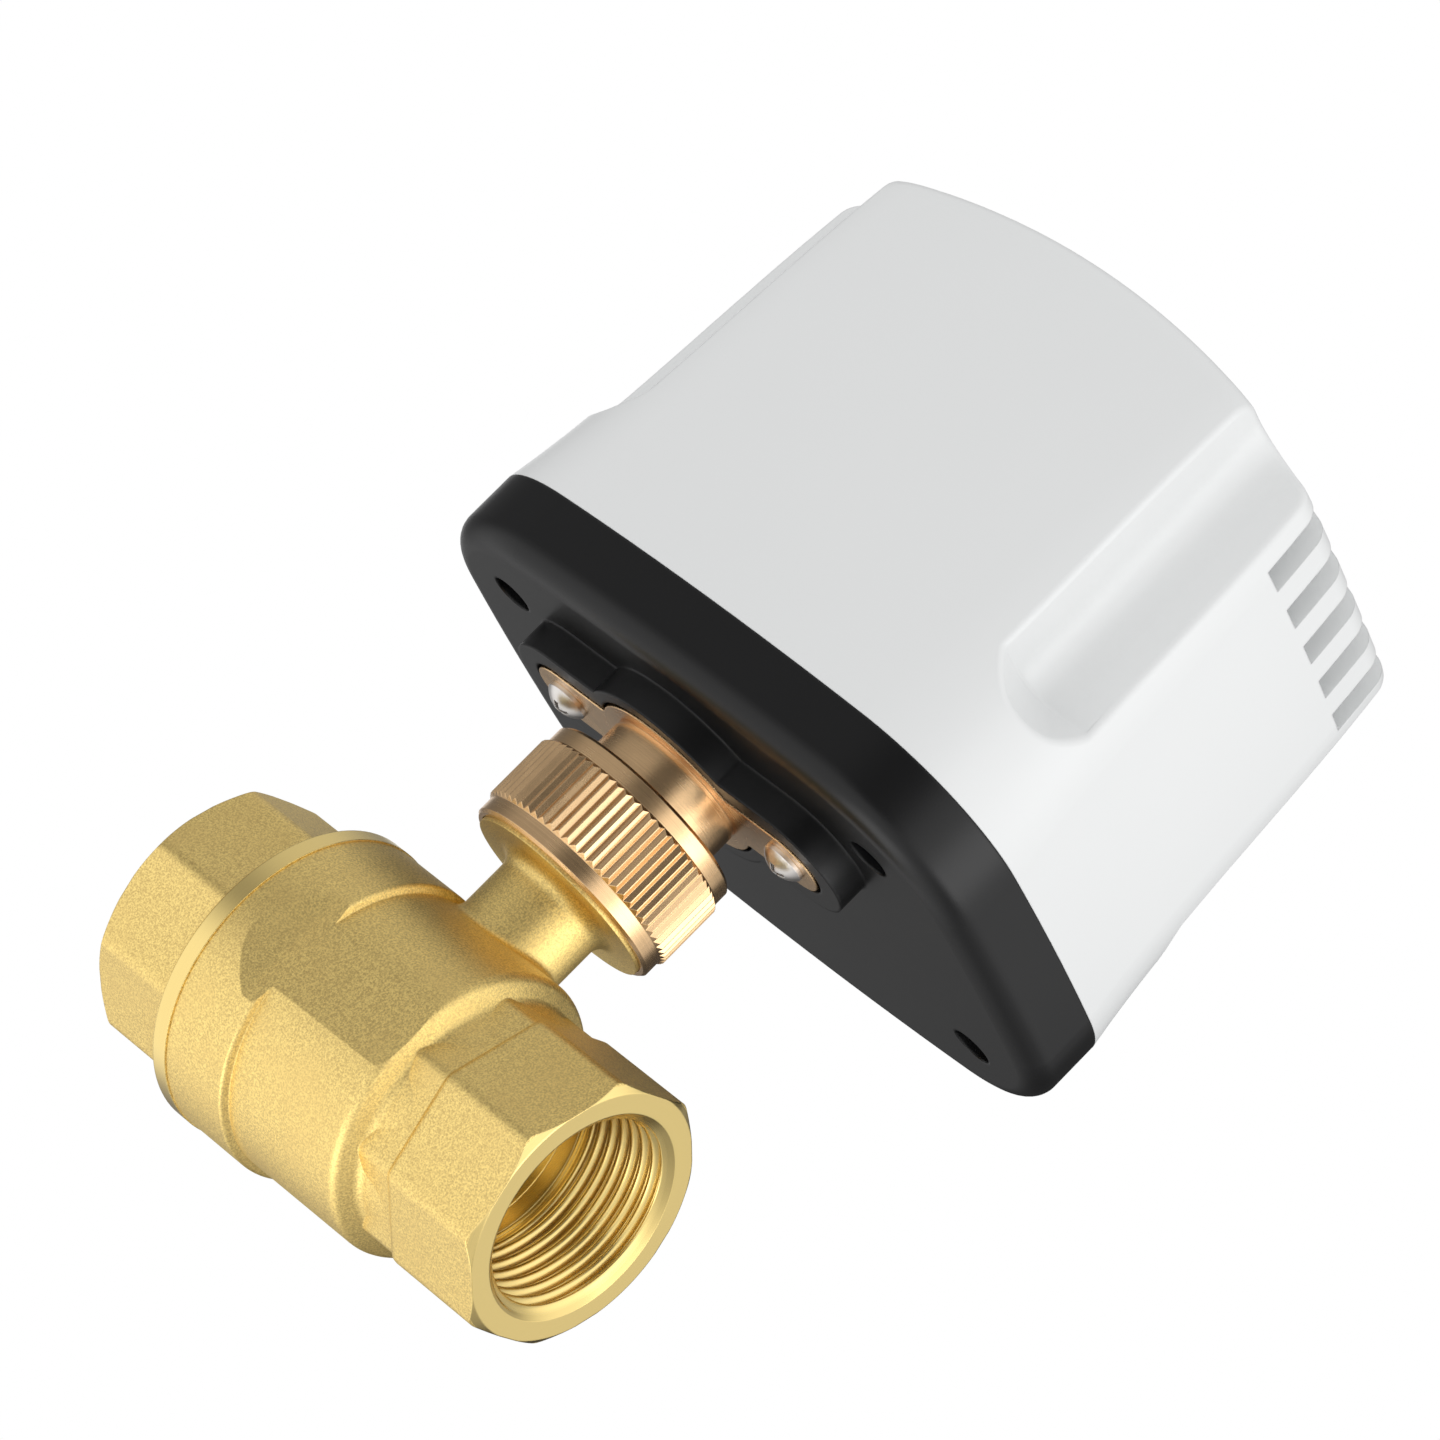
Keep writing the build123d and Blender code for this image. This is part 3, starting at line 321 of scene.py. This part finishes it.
class Finish:
    """One material and the few steps that its node tree is built from."""

    def __init__(self, name, tree=None):
        if tree is None:
            self.material = bpy.data.materials.new(name)
            self.material.use_nodes = True
            tree = self.material.node_tree
        self.tree = tree
        self.tree.nodes.clear()

    def add(self, kind, settings=None, sockets=None):
        """Add a node: its settings first, then the values or links of its sockets."""
        node = self.tree.nodes.new(kind)
        for key, value in (settings or {}).items():
            setattr(node, key, value)
        for key, value in (sockets or {}).items():
            if isinstance(value, Value):
                self.tree.links.new(value.socket, node.inputs[key])
            else:
                node.inputs[key].default_value = value
        return Placed(self, node)

    def place(self):
        """Place on the piece, in metres in the part's frame."""
        return self.add("ShaderNodeTexCoord")["Object"]

    def place_in_sky(self):
        """Direction of the surroundings, in the part's frame."""
        return self.add("ShaderNodeTexCoord")["Generated"]

    def facing(self, axis):
        """How squarely the surface faces an axis (0, 1 or 2), from 0 to 1."""
        normal = self.add("ShaderNodeTexCoord")["Normal"]
        return abs(self.axes(normal)[axis])

    def axes(self, vector):
        split = self.add("ShaderNodeSeparateXYZ", {}, {0: vector})
        return split["X"], split["Y"], split["Z"]

    def join(self, x, y, z):
        return self.add("ShaderNodeCombineXYZ", {}, {0: x, 1: y, 2: z})[0]

    def step(self, value, low, high):
        """0 below low, 1 above high and a soft step between."""
        sockets = {"Value": value, "From Min": low, "From Max": high}
        return self.add("ShaderNodeMapRange", {"interpolation_type": "SMOOTHSTEP"}, sockets)["Result"]

    def past(self, value, edge, soft=0.1 * MM):
        """0 below edge and 1 from soft beyond it."""
        return self.step(value, edge, edge + soft)

    def noise(self, vector, size, detail=2.0, roughness=0.5):
        sockets = {"Vector": vector, "Scale": 1.0 / size, "Detail": detail, "Roughness": roughness}
        return self.add("ShaderNodeTexNoise", {}, sockets)["Fac"]

    def mix(self, low, high, mask):
        """Colour low where mask is 0 and high where it is 1."""
        made = self.add("ShaderNodeMix", {"data_type": "RGBA"}, {0: mask, 6: color(low), 7: color(high)})
        return made[2]

    def bump(self, height, distance, edge=0.0):
        """Normal from a height of 0 to 1; edge rounds the shading of sharp edges."""
        sockets = {"Height": height, "Distance": distance, "Strength": 1.0}
        if edge:
            sockets["Normal"] = self.add("ShaderNodeBevel", {"samples": 6}, {"Radius": edge})[0]
        return self.add("ShaderNodeBump", {}, sockets)["Normal"]

    def surface(self, **sockets):
        """Close the tree with a Principled shader."""
        named = {key.replace("_", " "): value for key, value in sockets.items()}
        shader = self.add("ShaderNodeBsdfPrincipled", {}, named)
        self.add("ShaderNodeOutputMaterial", {}, {"Surface": shader["BSDF"]})
        return self.material


def color(value):
    """A colour of three numbers as four; a link stays as it is."""
    if isinstance(value, Value):
        return value
    return tuple(value) + (1.0,)


def shade(value, factor):
    """A colour made lighter or darker."""
    return tuple(min(1.0, channel * factor) for channel in value)


def dress(material, *names):
    """Give CAD nodes a material in their own slots."""
    for name in names:
        slots = nodes[name].data.materials
        if not len(slots):
            slots.append(material)
        for index in range(len(slots)):
            slots[index] = material


def machined_places(f, x, z, radius):
    """1 on the end faces, the bores, the collar ring and the neck; 0 on the cast skin."""
    at = bpy.context.scene.ball_valve.machined
    face = f.past(abs(x - stem_x), valve_half - at.face_band, 0.12 * MM) * f.step(f.facing(0), 0.2, 0.3)
    bore = 1 - f.past(radius, thread_major_r + at.bore_skin)
    collar_x = adapter_start + at.collar_start
    collar = f.past(x, collar_x) * (1 - f.past(x, collar_x + at.collar_width))
    collar = collar * f.past(radius, at.collar_r, 0.4 * MM)
    neck = f.past(z, body_top - at.neck_height, 0.5 * MM)
    return f.step(face + bore + collar + neck, 0.3, 0.7)


def cast_brass():
    """Sandblasted skin, with machined end faces, bores, collar ring and neck; the grain's darker pits and
    lighter peaks are painted shade and painted glints.
    """
    look = bpy.context.scene.ball_valve.brass
    f = Finish("cast_brass")
    place = f.place()
    x, y, z = f.axes(place)
    radius = (y * y + z * z) ** 0.5
    cut = machined_places(f, x, z, radius)
    grain = f.noise(place, size=look.grain, detail=3.0, roughness=0.62)
    fine = f.noise(place, size=look.grain * 0.4)
    cloud = f.noise(place, size=9 * MM, detail=3.0)
    # Darker pits and lighter peaks of the grain are painted shade and painted glints over the grain's own
    # random tone.
    pit_shade_and_glint = f.step(grain, 0.32, 0.68)
    blasted_with_painted_glint_and_shade = f.mix(shade(look.cast, 0.70), shade(look.cast, 1.18), pit_shade_and_glint)
    blasted_with_painted_glint_and_shade = f.mix(blasted_with_painted_glint_and_shade, shade(look.cast, 0.9), f.step(cloud, 0.45, 0.75) * 0.5)
    lines = f.noise(f.join(x * 0.2, radius, 0.0), size=0.05 * MM)
    machined = f.mix(shade(look.cut, 0.93), look.cut, lines)
    cast_roughness = 0.38 + grain * 0.12
    cut_roughness = 0.16 + lines * 0.1
    height = (grain * 0.7 + fine * 0.3) * (1 - cut) + lines * cut * 0.04
    return f.surface(
        Base_Color=f.mix(blasted_with_painted_glint_and_shade, machined, cut),
        Metallic=1.0,
        Roughness=cast_roughness * (1 - cut) + cut_roughness * cut,
        Normal=f.bump(height, look.grain_height, edge=0.25 * MM),
    )


def thread_brass():
    """Bright cut flanks of the pipe threads, with painted shade darkening the grooves."""
    look = bpy.context.scene.ball_valve.brass
    f = Finish("thread_brass")
    x, y, z = f.axes(f.place())
    radius = (y * y + z * z) ** 0.5
    chatter = f.noise(f.join(x, radius, 0.0), size=0.3 * MM)
    # Grooves get a darker colour as painted shade; crests keep the cut colour.
    crest_free_of_painted_shade = 1 - f.step(radius, thread_major_r - 0.6 * MM, thread_major_r)
    return f.surface(
        Base_Color=f.mix(shade(look.cut, 0.84), look.cut, crest_free_of_painted_shade),
        Metallic=1.0,
        Roughness=0.24 + chatter * 0.06,
        Normal=f.bump(chatter, distance=0.006 * MM),
    )


def turned_bronze(name, sheared=False):
    """Rose bronze with fine turning lines about the stem, and a sheared rim on the flange whose rough grain
    is coloured with painted shade and painted glints.
    """
    look = bpy.context.scene.ball_valve.bronze
    f = Finish(name)
    place = f.place()
    x, y, z = f.axes(place)
    across = x - stem_x
    radius = (across * across + y * y) ** 0.5
    lines = f.noise(f.join(radius, 0.0, z), size=look.line, detail=3.0, roughness=0.6)
    cloud = f.noise(place, size=4 * MM, detail=3.0)
    height = lines
    tone = f.mix(shade(look.turned, 0.88), look.turned, f.step(lines + cloud * 0.5, 0.5, 0.9))
    if sheared:
        scratch = f.noise(f.join(x * 0.06, y, z), size=0.1 * MM, detail=3.0, roughness=0.7)
        outward = f.step(radius, 0.0, look.spigot_r)
        height = lines * (1 - outward * 0.6) + scratch * outward * 0.6
        upright = 1 - f.step(f.facing(2), 0.3, 0.6)
        on_plate = f.past(z, flange_top - look.plate, 0.2 * MM) * f.past(radius, look.spigot_r, 0.5 * MM)
        rim = upright * on_plate
        torn = f.noise(place, size=0.13 * MM, roughness=0.7)
        # On the sheared rim, the dark and bright grain tones are painted shade and painted glints over its
        # real rough grain.
        torn_painted_glint_and_shade = f.mix(shade(look.turned, 0.30), shade(look.turned, 1.15), f.step(torn, 0.42, 0.62))
        tone = f.mix(tone, torn_painted_glint_and_shade, rim)
        height = height * (1 - rim) + torn * rim * 3.0
    return f.surface(
        Base_Color=tone,
        Metallic=1.0,
        Roughness=0.17 + cloud * 0.12 + lines * 0.06,
        Normal=f.bump(height, distance=0.012 * MM, edge=0.12 * MM),
    )


def moulded_black():
    """Satin black plastic with a very fine spark texture."""
    look = bpy.context.scene.ball_valve.case
    f = Finish("moulded_black")
    place = f.place()
    spark = f.noise(place, size=0.22 * MM, detail=3.0, roughness=0.6)
    cloud = f.noise(place, size=14 * MM)
    return f.surface(
        Base_Color=f.mix(look.black, shade(look.black, 1.6), spark),
        Roughness=0.29 + cloud * 0.06 + spark * 0.04,
        Specular_IOR_Level=0.33,
        Normal=f.bump(spark, distance=0.008 * MM, edge=0.5 * MM),
    )


def moulded_grey():
    """Light grey plastic, smooth with a faint waviness."""
    look = bpy.context.scene.ball_valve.case
    f = Finish("moulded_grey")
    place = f.place()
    wave = f.noise(place, size=18 * MM)
    spark = f.noise(place, size=0.3 * MM)
    return f.surface(
        Base_Color=f.mix(shade(look.grey, 0.985), look.grey, wave),
        Roughness=0.28 + spark * 0.06,
        Specular_IOR_Level=0.6,
        Normal=f.bump(spark * 0.25 + wave, distance=0.02 * MM, edge=0.4 * MM),
    )


def bright_metal(name, tint, roughness, grain, edge):
    """Plain bright metal with fine random marks; edge rounds the shading of its edges."""
    f = Finish(name)
    place = f.place()
    marks = f.noise(place, size=grain, detail=3.0, roughness=0.6)
    cloud = f.noise(place, size=grain * 12)
    return f.surface(
        Base_Color=f.mix(shade(tint, 0.85), tint, cloud),
        Metallic=1.0,
        Roughness=roughness + marks * 0.1,
        Normal=f.bump(marks, distance=0.006 * MM, edge=edge),
    )


def plain_polymer(name, tint, roughness, grain):
    """Moulded polymer or rubber with a fine skin."""
    f = Finish(name)
    place = f.place()
    skin = f.noise(place, size=grain, detail=3.0, roughness=0.6)
    cloud = f.noise(place, size=grain * 20)
    return f.surface(
        Base_Color=f.mix(shade(tint, 0.85), shade(tint, 1.08), cloud),
        Roughness=roughness + skin * 0.1,
        Normal=f.bump(skin, distance=0.01 * MM, edge=0.15 * MM),
    )


def wound_copper():
    """Enamelled wire laid in turns around the coil, with painted shade between the turns."""
    look = bpy.context.scene.ball_valve.small
    f = Finish("wound_copper")
    place = f.place()
    bands = {"wave_type": "BANDS", "bands_direction": "Z"}
    turns = f.add("ShaderNodeTexWave", bands, {0: place, "Scale": 1600.0})["Fac"]
    fine = f.noise(place, size=0.8 * MM)
    return f.surface(
        Base_Color=f.mix(look.copper_painted_groove_shade, look.copper_crest, turns),
        Metallic=0.9,
        Roughness=0.28 + fine * 0.1,
        Coat_Weight=0.5,
        Normal=f.bump(turns, distance=0.08 * MM),
    )


def circuit_green():
    """Lacquered board with faint copper tracks under the mask."""
    look = bpy.context.scene.ball_valve.small
    f = Finish("circuit_green")
    cells = {"feature": "DISTANCE_TO_EDGE", "distance": "EUCLIDEAN"}
    edge = f.add("ShaderNodeTexVoronoi", cells, {"Vector": f.place(), "Scale": 240.0})["Distance"]
    track = 1 - f.step(edge, 0.02, 0.05)
    return f.surface(
        Base_Color=f.mix(look.board, look.track, track),
        Roughness=0.3 + track * 0.1,
        Coat_Weight=0.4,
        Normal=f.bump(track, distance=0.03 * MM, edge=0.1 * MM),
    )


def thread_radius(look, along, turn):
    """Radius at a depth along the port, where the helix has made so many turns."""
    ridge = abs(math.sin(math.pi * (along / look.pitch - turn))) ** RIDGE_SHARPNESS
    dying = min(1.0, (thread_length - along) / (look.fade * look.pitch))
    countersink = thread_major_r + look.mouth - MOUTH_SLOPE * along
    return max(thread_major_r - ROOT_GAP - look.depth * ridge * dying, countersink)


def thread_surface(face_x, inward):
    """Helical ridges from a port's face inwards; inward is the direction along X."""
    look = bpy.context.scene.ball_valve.thread
    turns = thread_length / look.pitch
    mesh = bmesh.new()
    grid = []
    for row in range(-look.steps, int(turns * look.steps) + 1):
        turn = row / look.steps
        angle = 2 * math.pi * turn
        line = []
        for k in range(PROFILE_STEPS + 1):
            along = min(thread_length, max(0.0, (turn + k / PROFILE_STEPS) * look.pitch))
            r = thread_radius(look, along, turn)
            place = (face_x + inward * along, r * math.cos(angle), inward * r * math.sin(angle))
            line.append(mesh.verts.new(place))
        grid.append(line)
    for first, second in zip(grid, grid[1:]):
        for k in range(PROFILE_STEPS):
            mesh.faces.new((first[k], first[k + 1], second[k + 1], second[k]))
    bmesh.ops.remove_doubles(mesh, verts=mesh.verts, dist=1e-6)
    bmesh.ops.dissolve_degenerate(mesh, edges=mesh.edges, dist=1e-7)
    face_the_axis(mesh)
    return mesh


def face_the_axis(mesh):
    """Turn all the faces of a thread towards the port's axis."""
    bmesh.ops.recalc_face_normals(mesh, faces=mesh.faces)
    probe = next(iter(mesh.faces))
    centre = probe.calc_center_median()
    if probe.normal.dot(Vector((0, centre.y, centre.z))) > 0:
        bmesh.ops.reverse_faces(mesh, faces=mesh.faces)


def mesh_object(name, mesh_data, material, body):
    """Turn a bmesh into a shaded piece that rides on a body."""
    mesh = bpy.data.meshes.new(name)
    mesh_data.normal_update()
    mesh_data.to_mesh(mesh)
    mesh_data.free()
    mesh.materials.append(material)
    for polygon in mesh.polygons:
        polygon.use_smooth = True
    piece = bpy.data.objects.new(name, mesh)
    bpy.context.scene.collection.objects.link(piece)
    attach(piece, body)


class BALLVALVE_OT_port_threads(bpy.types.Operator):
    """Cut the pipe threads in both ports"""
    bl_idname = "ball_valve.port_threads"
    bl_label = "Port Threads"

    def execute(self, context):
        material = thread_brass()
        mesh_object("outlet_thread", thread_surface(outlet_x, -1), material, "valve_and_case")
        mesh_object("inlet_thread", thread_surface(inlet_x, 1), material, "valve_and_case")
        return {"FINISHED"}


class BALLVALVE_OT_valve(bpy.types.Operator):
    """Finish the cast valve body and its end adapter"""
    bl_idname = "ball_valve.valve"
    bl_label = "Valve"

    def execute(self, context):
        dress(cast_brass(), "valve_body", "end_adapter")
        return {"FINISHED"}


class BALLVALVE_OT_valve_inside(bpy.types.Operator):
    """Finish the ball, its seats, the stem and the seals"""
    bl_idname = "ball_valve.valve_inside"
    bl_label = "Ball and Stem"

    def execute(self, context):
        look = context.scene.ball_valve.small
        chrome = bright_metal("ball_chrome", look.chrome, roughness=0.06, grain=0.5 * MM, edge=0.1 * MM)
        dress(chrome, "ball")
        seat = plain_polymer("seat_plastic", look.seat, roughness=0.35, grain=0.2 * MM)
        dress(seat, "ball_seats", "thrust_washer", "output_bush")
        rubber = plain_polymer("seal_rubber", look.rubber, roughness=0.55, grain=0.15 * MM)
        dress(rubber, "adapter_seal", "stem_seals", "base_gasket", "gland_seal")
        dress(turned_bronze("stem_bronze"), "stem", "output_shaft")
        return {"FINISHED"}


class BALLVALVE_OT_union(bpy.types.Operator):
    """Finish the union nut and the mounting flange"""
    bl_idname = "ball_valve.union"
    bl_label = "Union Nut and Flange"

    def execute(self, context):
        dress(turned_bronze("nut_bronze"), "union_nut")
        dress(turned_bronze("flange_bronze", sheared=True), "mounting_flange")
        return {"FINISHED"}


class BALLVALVE_OT_case(bpy.types.Operator):
    """Finish the black base and the light grey cover"""
    bl_idname = "ball_valve.case"
    bl_label = "Case"

    def execute(self, context):
        dress(moulded_black(), "base")
        dress(moulded_grey(), "cover")
        return {"FINISHED"}


class BALLVALVE_OT_fasteners(bpy.types.Operator):
    """Finish screws, pins, posts and plates"""
    bl_idname = "ball_valve.fasteners"
    bl_label = "Fasteners and Plates"

    def execute(self, context):
        look = context.scene.ball_valve.small
        steel = bright_metal("bright_steel", look.steel, roughness=0.28, grain=0.3 * MM, edge=0.12 * MM)
        dress(steel, "flange_screws", "cover_screws", "locating_pins", "gear_arbors", "plate_spacers")
        dress(steel, "shaft_clip", "switch_screws", "motor_screws", "rotor_shaft", "board_posts")
        dress(steel, "board_screws", "terminal_screws", "lower_lever", "upper_lever")
        zinc = bright_metal("plated_zinc", look.zinc, roughness=0.32, grain=0.6 * MM, edge=0.1 * MM)
        dress(zinc, "lower_gear_plate", "upper_gear_plate", "motor_lid", "motor_can")
        return {"FINISHED"}


class BALLVALVE_OT_drive(bpy.types.Operator):
    """Finish the gears, cams, switches and motor"""
    bl_idname = "ball_valve.drive"
    bl_label = "Drive"

    def execute(self, context):
        look = context.scene.ball_valve.small
        gear = bright_metal("sintered_gear", look.sintered, roughness=0.4, grain=0.25 * MM, edge=0.08 * MM)
        dress(gear, "output_gear", "third_gear", "motor_pinion")
        nylon = plain_polymer("gear_nylon", look.nylon, roughness=0.38, grain=0.2 * MM)
        dress(nylon, "second_gear", "first_gear", "upper_cam")
        dark = plain_polymer("moulded_dark", look.dark, roughness=0.4, grain=0.2 * MM)
        dress(dark, "lower_cam", "switch_bodies", "board_components")
        dress(wound_copper(), "coil_bobbin")
        magnet = bright_metal("ground_magnet", look.magnet, roughness=0.42, grain=0.2 * MM, edge=0.1 * MM)
        dress(magnet, "rotor_magnet")
        return {"FINISHED"}


class BALLVALVE_OT_electrics(bpy.types.Operator):
    """Finish the board, the terminal and the cable gland"""
    bl_idname = "ball_valve.electrics"
    bl_label = "Board and Cable Entry"

    def execute(self, context):
        look = context.scene.ball_valve.small
        dress(circuit_green(), "circuit_board")
        green = plain_polymer("terminal_green", look.terminal, roughness=0.34, grain=0.25 * MM)
        dress(green, "terminal_block", "lower_plunger", "upper_plunger")
        gland = plain_polymer("gland_polyamide", look.gland, roughness=0.42, grain=0.18 * MM)
        dress(gland, "cable_gland_body", "gland_lock_nut", "gland_cap")
        return {"FINISHED"}


def studio_camera(look):
    """Camera at the given angles and distance from the target."""
    level = math.cos(look.elevation)
    east = math.sin(look.azimuth) * level
    north = -math.cos(look.azimuth) * level
    away = Vector((east, north, math.sin(look.elevation)))
    turn = away.to_track_quat("Z", "Y").to_matrix() @ Matrix.Rotation(look.roll, 3, "Z")
    data = bpy.data.cameras.new("studio_camera")
    data.lens = look.lens
    data.sensor_width = 36.0
    data.clip_start = 0.01
    data.clip_end = 20.0
    camera = bpy.data.objects.new("studio_camera", data)
    camera.matrix_world = Matrix.Translation(Vector(look.target) + away * look.distance) @ turn.to_4x4()
    bpy.context.scene.collection.objects.link(camera)
    bpy.context.scene.camera = camera
    return camera


def soft_box(name, camera, middle, offset, size, power):
    """A square area light, offset from the middle along the camera's axes and aimed at it."""
    place = middle + camera.matrix_world.to_3x3() @ Vector(offset)
    data = bpy.data.lights.new(name, "AREA")
    data.shape = "SQUARE"
    data.size = size
    data.energy = power
    lamp = bpy.data.objects.new(name, data)
    aim = (place - middle).to_track_quat("Z", "Y").to_matrix().to_4x4()
    lamp.matrix_world = Matrix.Translation(place) @ aim
    bpy.context.scene.collection.objects.link(lamp)


def mirrored_room(f, look):
    """Brightness of the dim room and its soft cards, by direction."""
    x, y, z = f.axes(f.place_in_sky())
    brightness = look.dim
    for direction, inner, outer, level in MIRRORED_CARDS:
        toward = Vector(direction).normalized()
        closeness = x * toward.x + y * toward.y + z * toward.z
        mask = f.step(closeness, math.cos(math.radians(outer)), math.cos(math.radians(inner)))
        brightness = brightness + mask * (level - brightness)
    return brightness


def studio_world(look):
    """White to the camera, an even light, and a dim room with soft cards that metal mirrors."""
    world = bpy.data.worlds.new("studio_world")
    world.use_nodes = True
    bpy.context.scene.world = world
    f = Finish("studio_world", world.node_tree)
    ray = f.add("ShaderNodeLightPath")
    room = mirrored_room(f, look)
    straight = f.step(ray["Is Camera Ray"] + ray["Is Transmission Ray"], 0.0, 1.0)
    white = f.step(straight + ray["Is Glossy Ray"], 0.0, 1.0)
    cards = 1 + (1 - straight) * ray["Is Glossy Ray"] * (room - 1)
    strength = (look.sky + (1 - look.sky) * white) * cards
    sky = f.add("ShaderNodeBackground", {}, {"Color": color(WHITE), "Strength": strength})
    f.add("ShaderNodeOutputWorld", {}, {"Surface": sky["Background"]})


def floor_material(look):
    """Pale card for the camera from above, and nothing to any other ray or from below."""
    f = Finish("pale_floor")
    tone = f.mix(look.floor_dark, look.floor_pale, f.noise(f.place(), size=0.3))
    above = 1 - f.add("ShaderNodeNewGeometry")["Backfacing"]
    shown = above * f.add("ShaderNodeLightPath")["Is Camera Ray"]
    card = f.add("ShaderNodeBsdfPrincipled", {}, {"Base Color": tone, "Roughness": 0.7})
    clear = f.add("ShaderNodeBsdfTransparent")
    mixed = f.add("ShaderNodeMixShader", {}, {0: shown, 1: clear["BSDF"], 2: card["BSDF"]})
    f.add("ShaderNodeOutputMaterial", {}, {"Surface": mixed["Shader"]})
    return f.material


def studio_floor(look):
    """Pale floor under the valve, which takes its shadow."""
    mesh = bmesh.new()
    bmesh.ops.create_grid(mesh, x_segments=8, y_segments=8, size=look.floor_half)
    data = bpy.data.meshes.new("pale_floor")
    mesh.to_mesh(data)
    mesh.free()
    data.materials.append(floor_material(look))
    floor = bpy.data.objects.new("pale_floor", data)
    floor.location.z = cad_box[0][2] - look.floor_gap
    bpy.context.scene.collection.objects.link(floor)


class BALLVALVE_OT_stage(bpy.types.Operator):
    """Set up the camera, the lights, the white surroundings and the floor"""
    bl_idname = "ball_valve.stage"
    bl_label = "Stage"

    def execute(self, context):
        look = context.scene.ball_valve.studio
        context.scene.view_settings.view_transform = "Standard"
        middle = (Vector(cad_box[0]) + Vector(cad_box[1])) / 2
        camera = studio_camera(look)
        soft_box("key_light", camera, middle, look.key_place, look.box, look.key)
        soft_box("fill_light", camera, middle, look.fill_place, look.box, look.fill)
        studio_world(look)
        studio_floor(look)
        return {"FINISHED"}


STEPS = (
    BALLVALVE_OT_stage,
    BALLVALVE_OT_valve,
    BALLVALVE_OT_port_threads,
    BALLVALVE_OT_valve_inside,
    BALLVALVE_OT_union,
    BALLVALVE_OT_case,
    BALLVALVE_OT_fasteners,
    BALLVALVE_OT_drive,
    BALLVALVE_OT_electrics,
)


class BALLVALVE_PT_panel(bpy.types.Panel):
    """Lists the steps that finish the valve"""
    bl_idname = "BALLVALVE_PT_panel"
    bl_label = "Ball Valve"
    bl_space_type = "VIEW_3D"
    bl_region_type = "UI"
    bl_category = "Ball Valve"

    def draw(self, context):
        for step in STEPS:
            self.layout.operator(step.bl_idname)


GROUPS = (ThreadSizes, BrassLook, MachinedPlaces, BronzeLook, CaseLook, SmallPartColours, StudioLook,
          BallValveLook)
CLASSES = GROUPS + STEPS + (BALLVALVE_PT_panel,)


def register():
    for cls in CLASSES:
        bpy.utils.register_class(cls)
    bpy.types.Scene.ball_valve = PointerProperty(type=BallValveLook)


def unregister():
    del bpy.types.Scene.ball_valve
    for cls in reversed(CLASSES):
        bpy.utils.unregister_class(cls)


def main():
    """Register and run every step in order."""
    register()
    for step in STEPS:
        group, name = step.bl_idname.split(".")
        getattr(getattr(bpy.ops, group), name)()


if __name__ == "__main__":
    main()
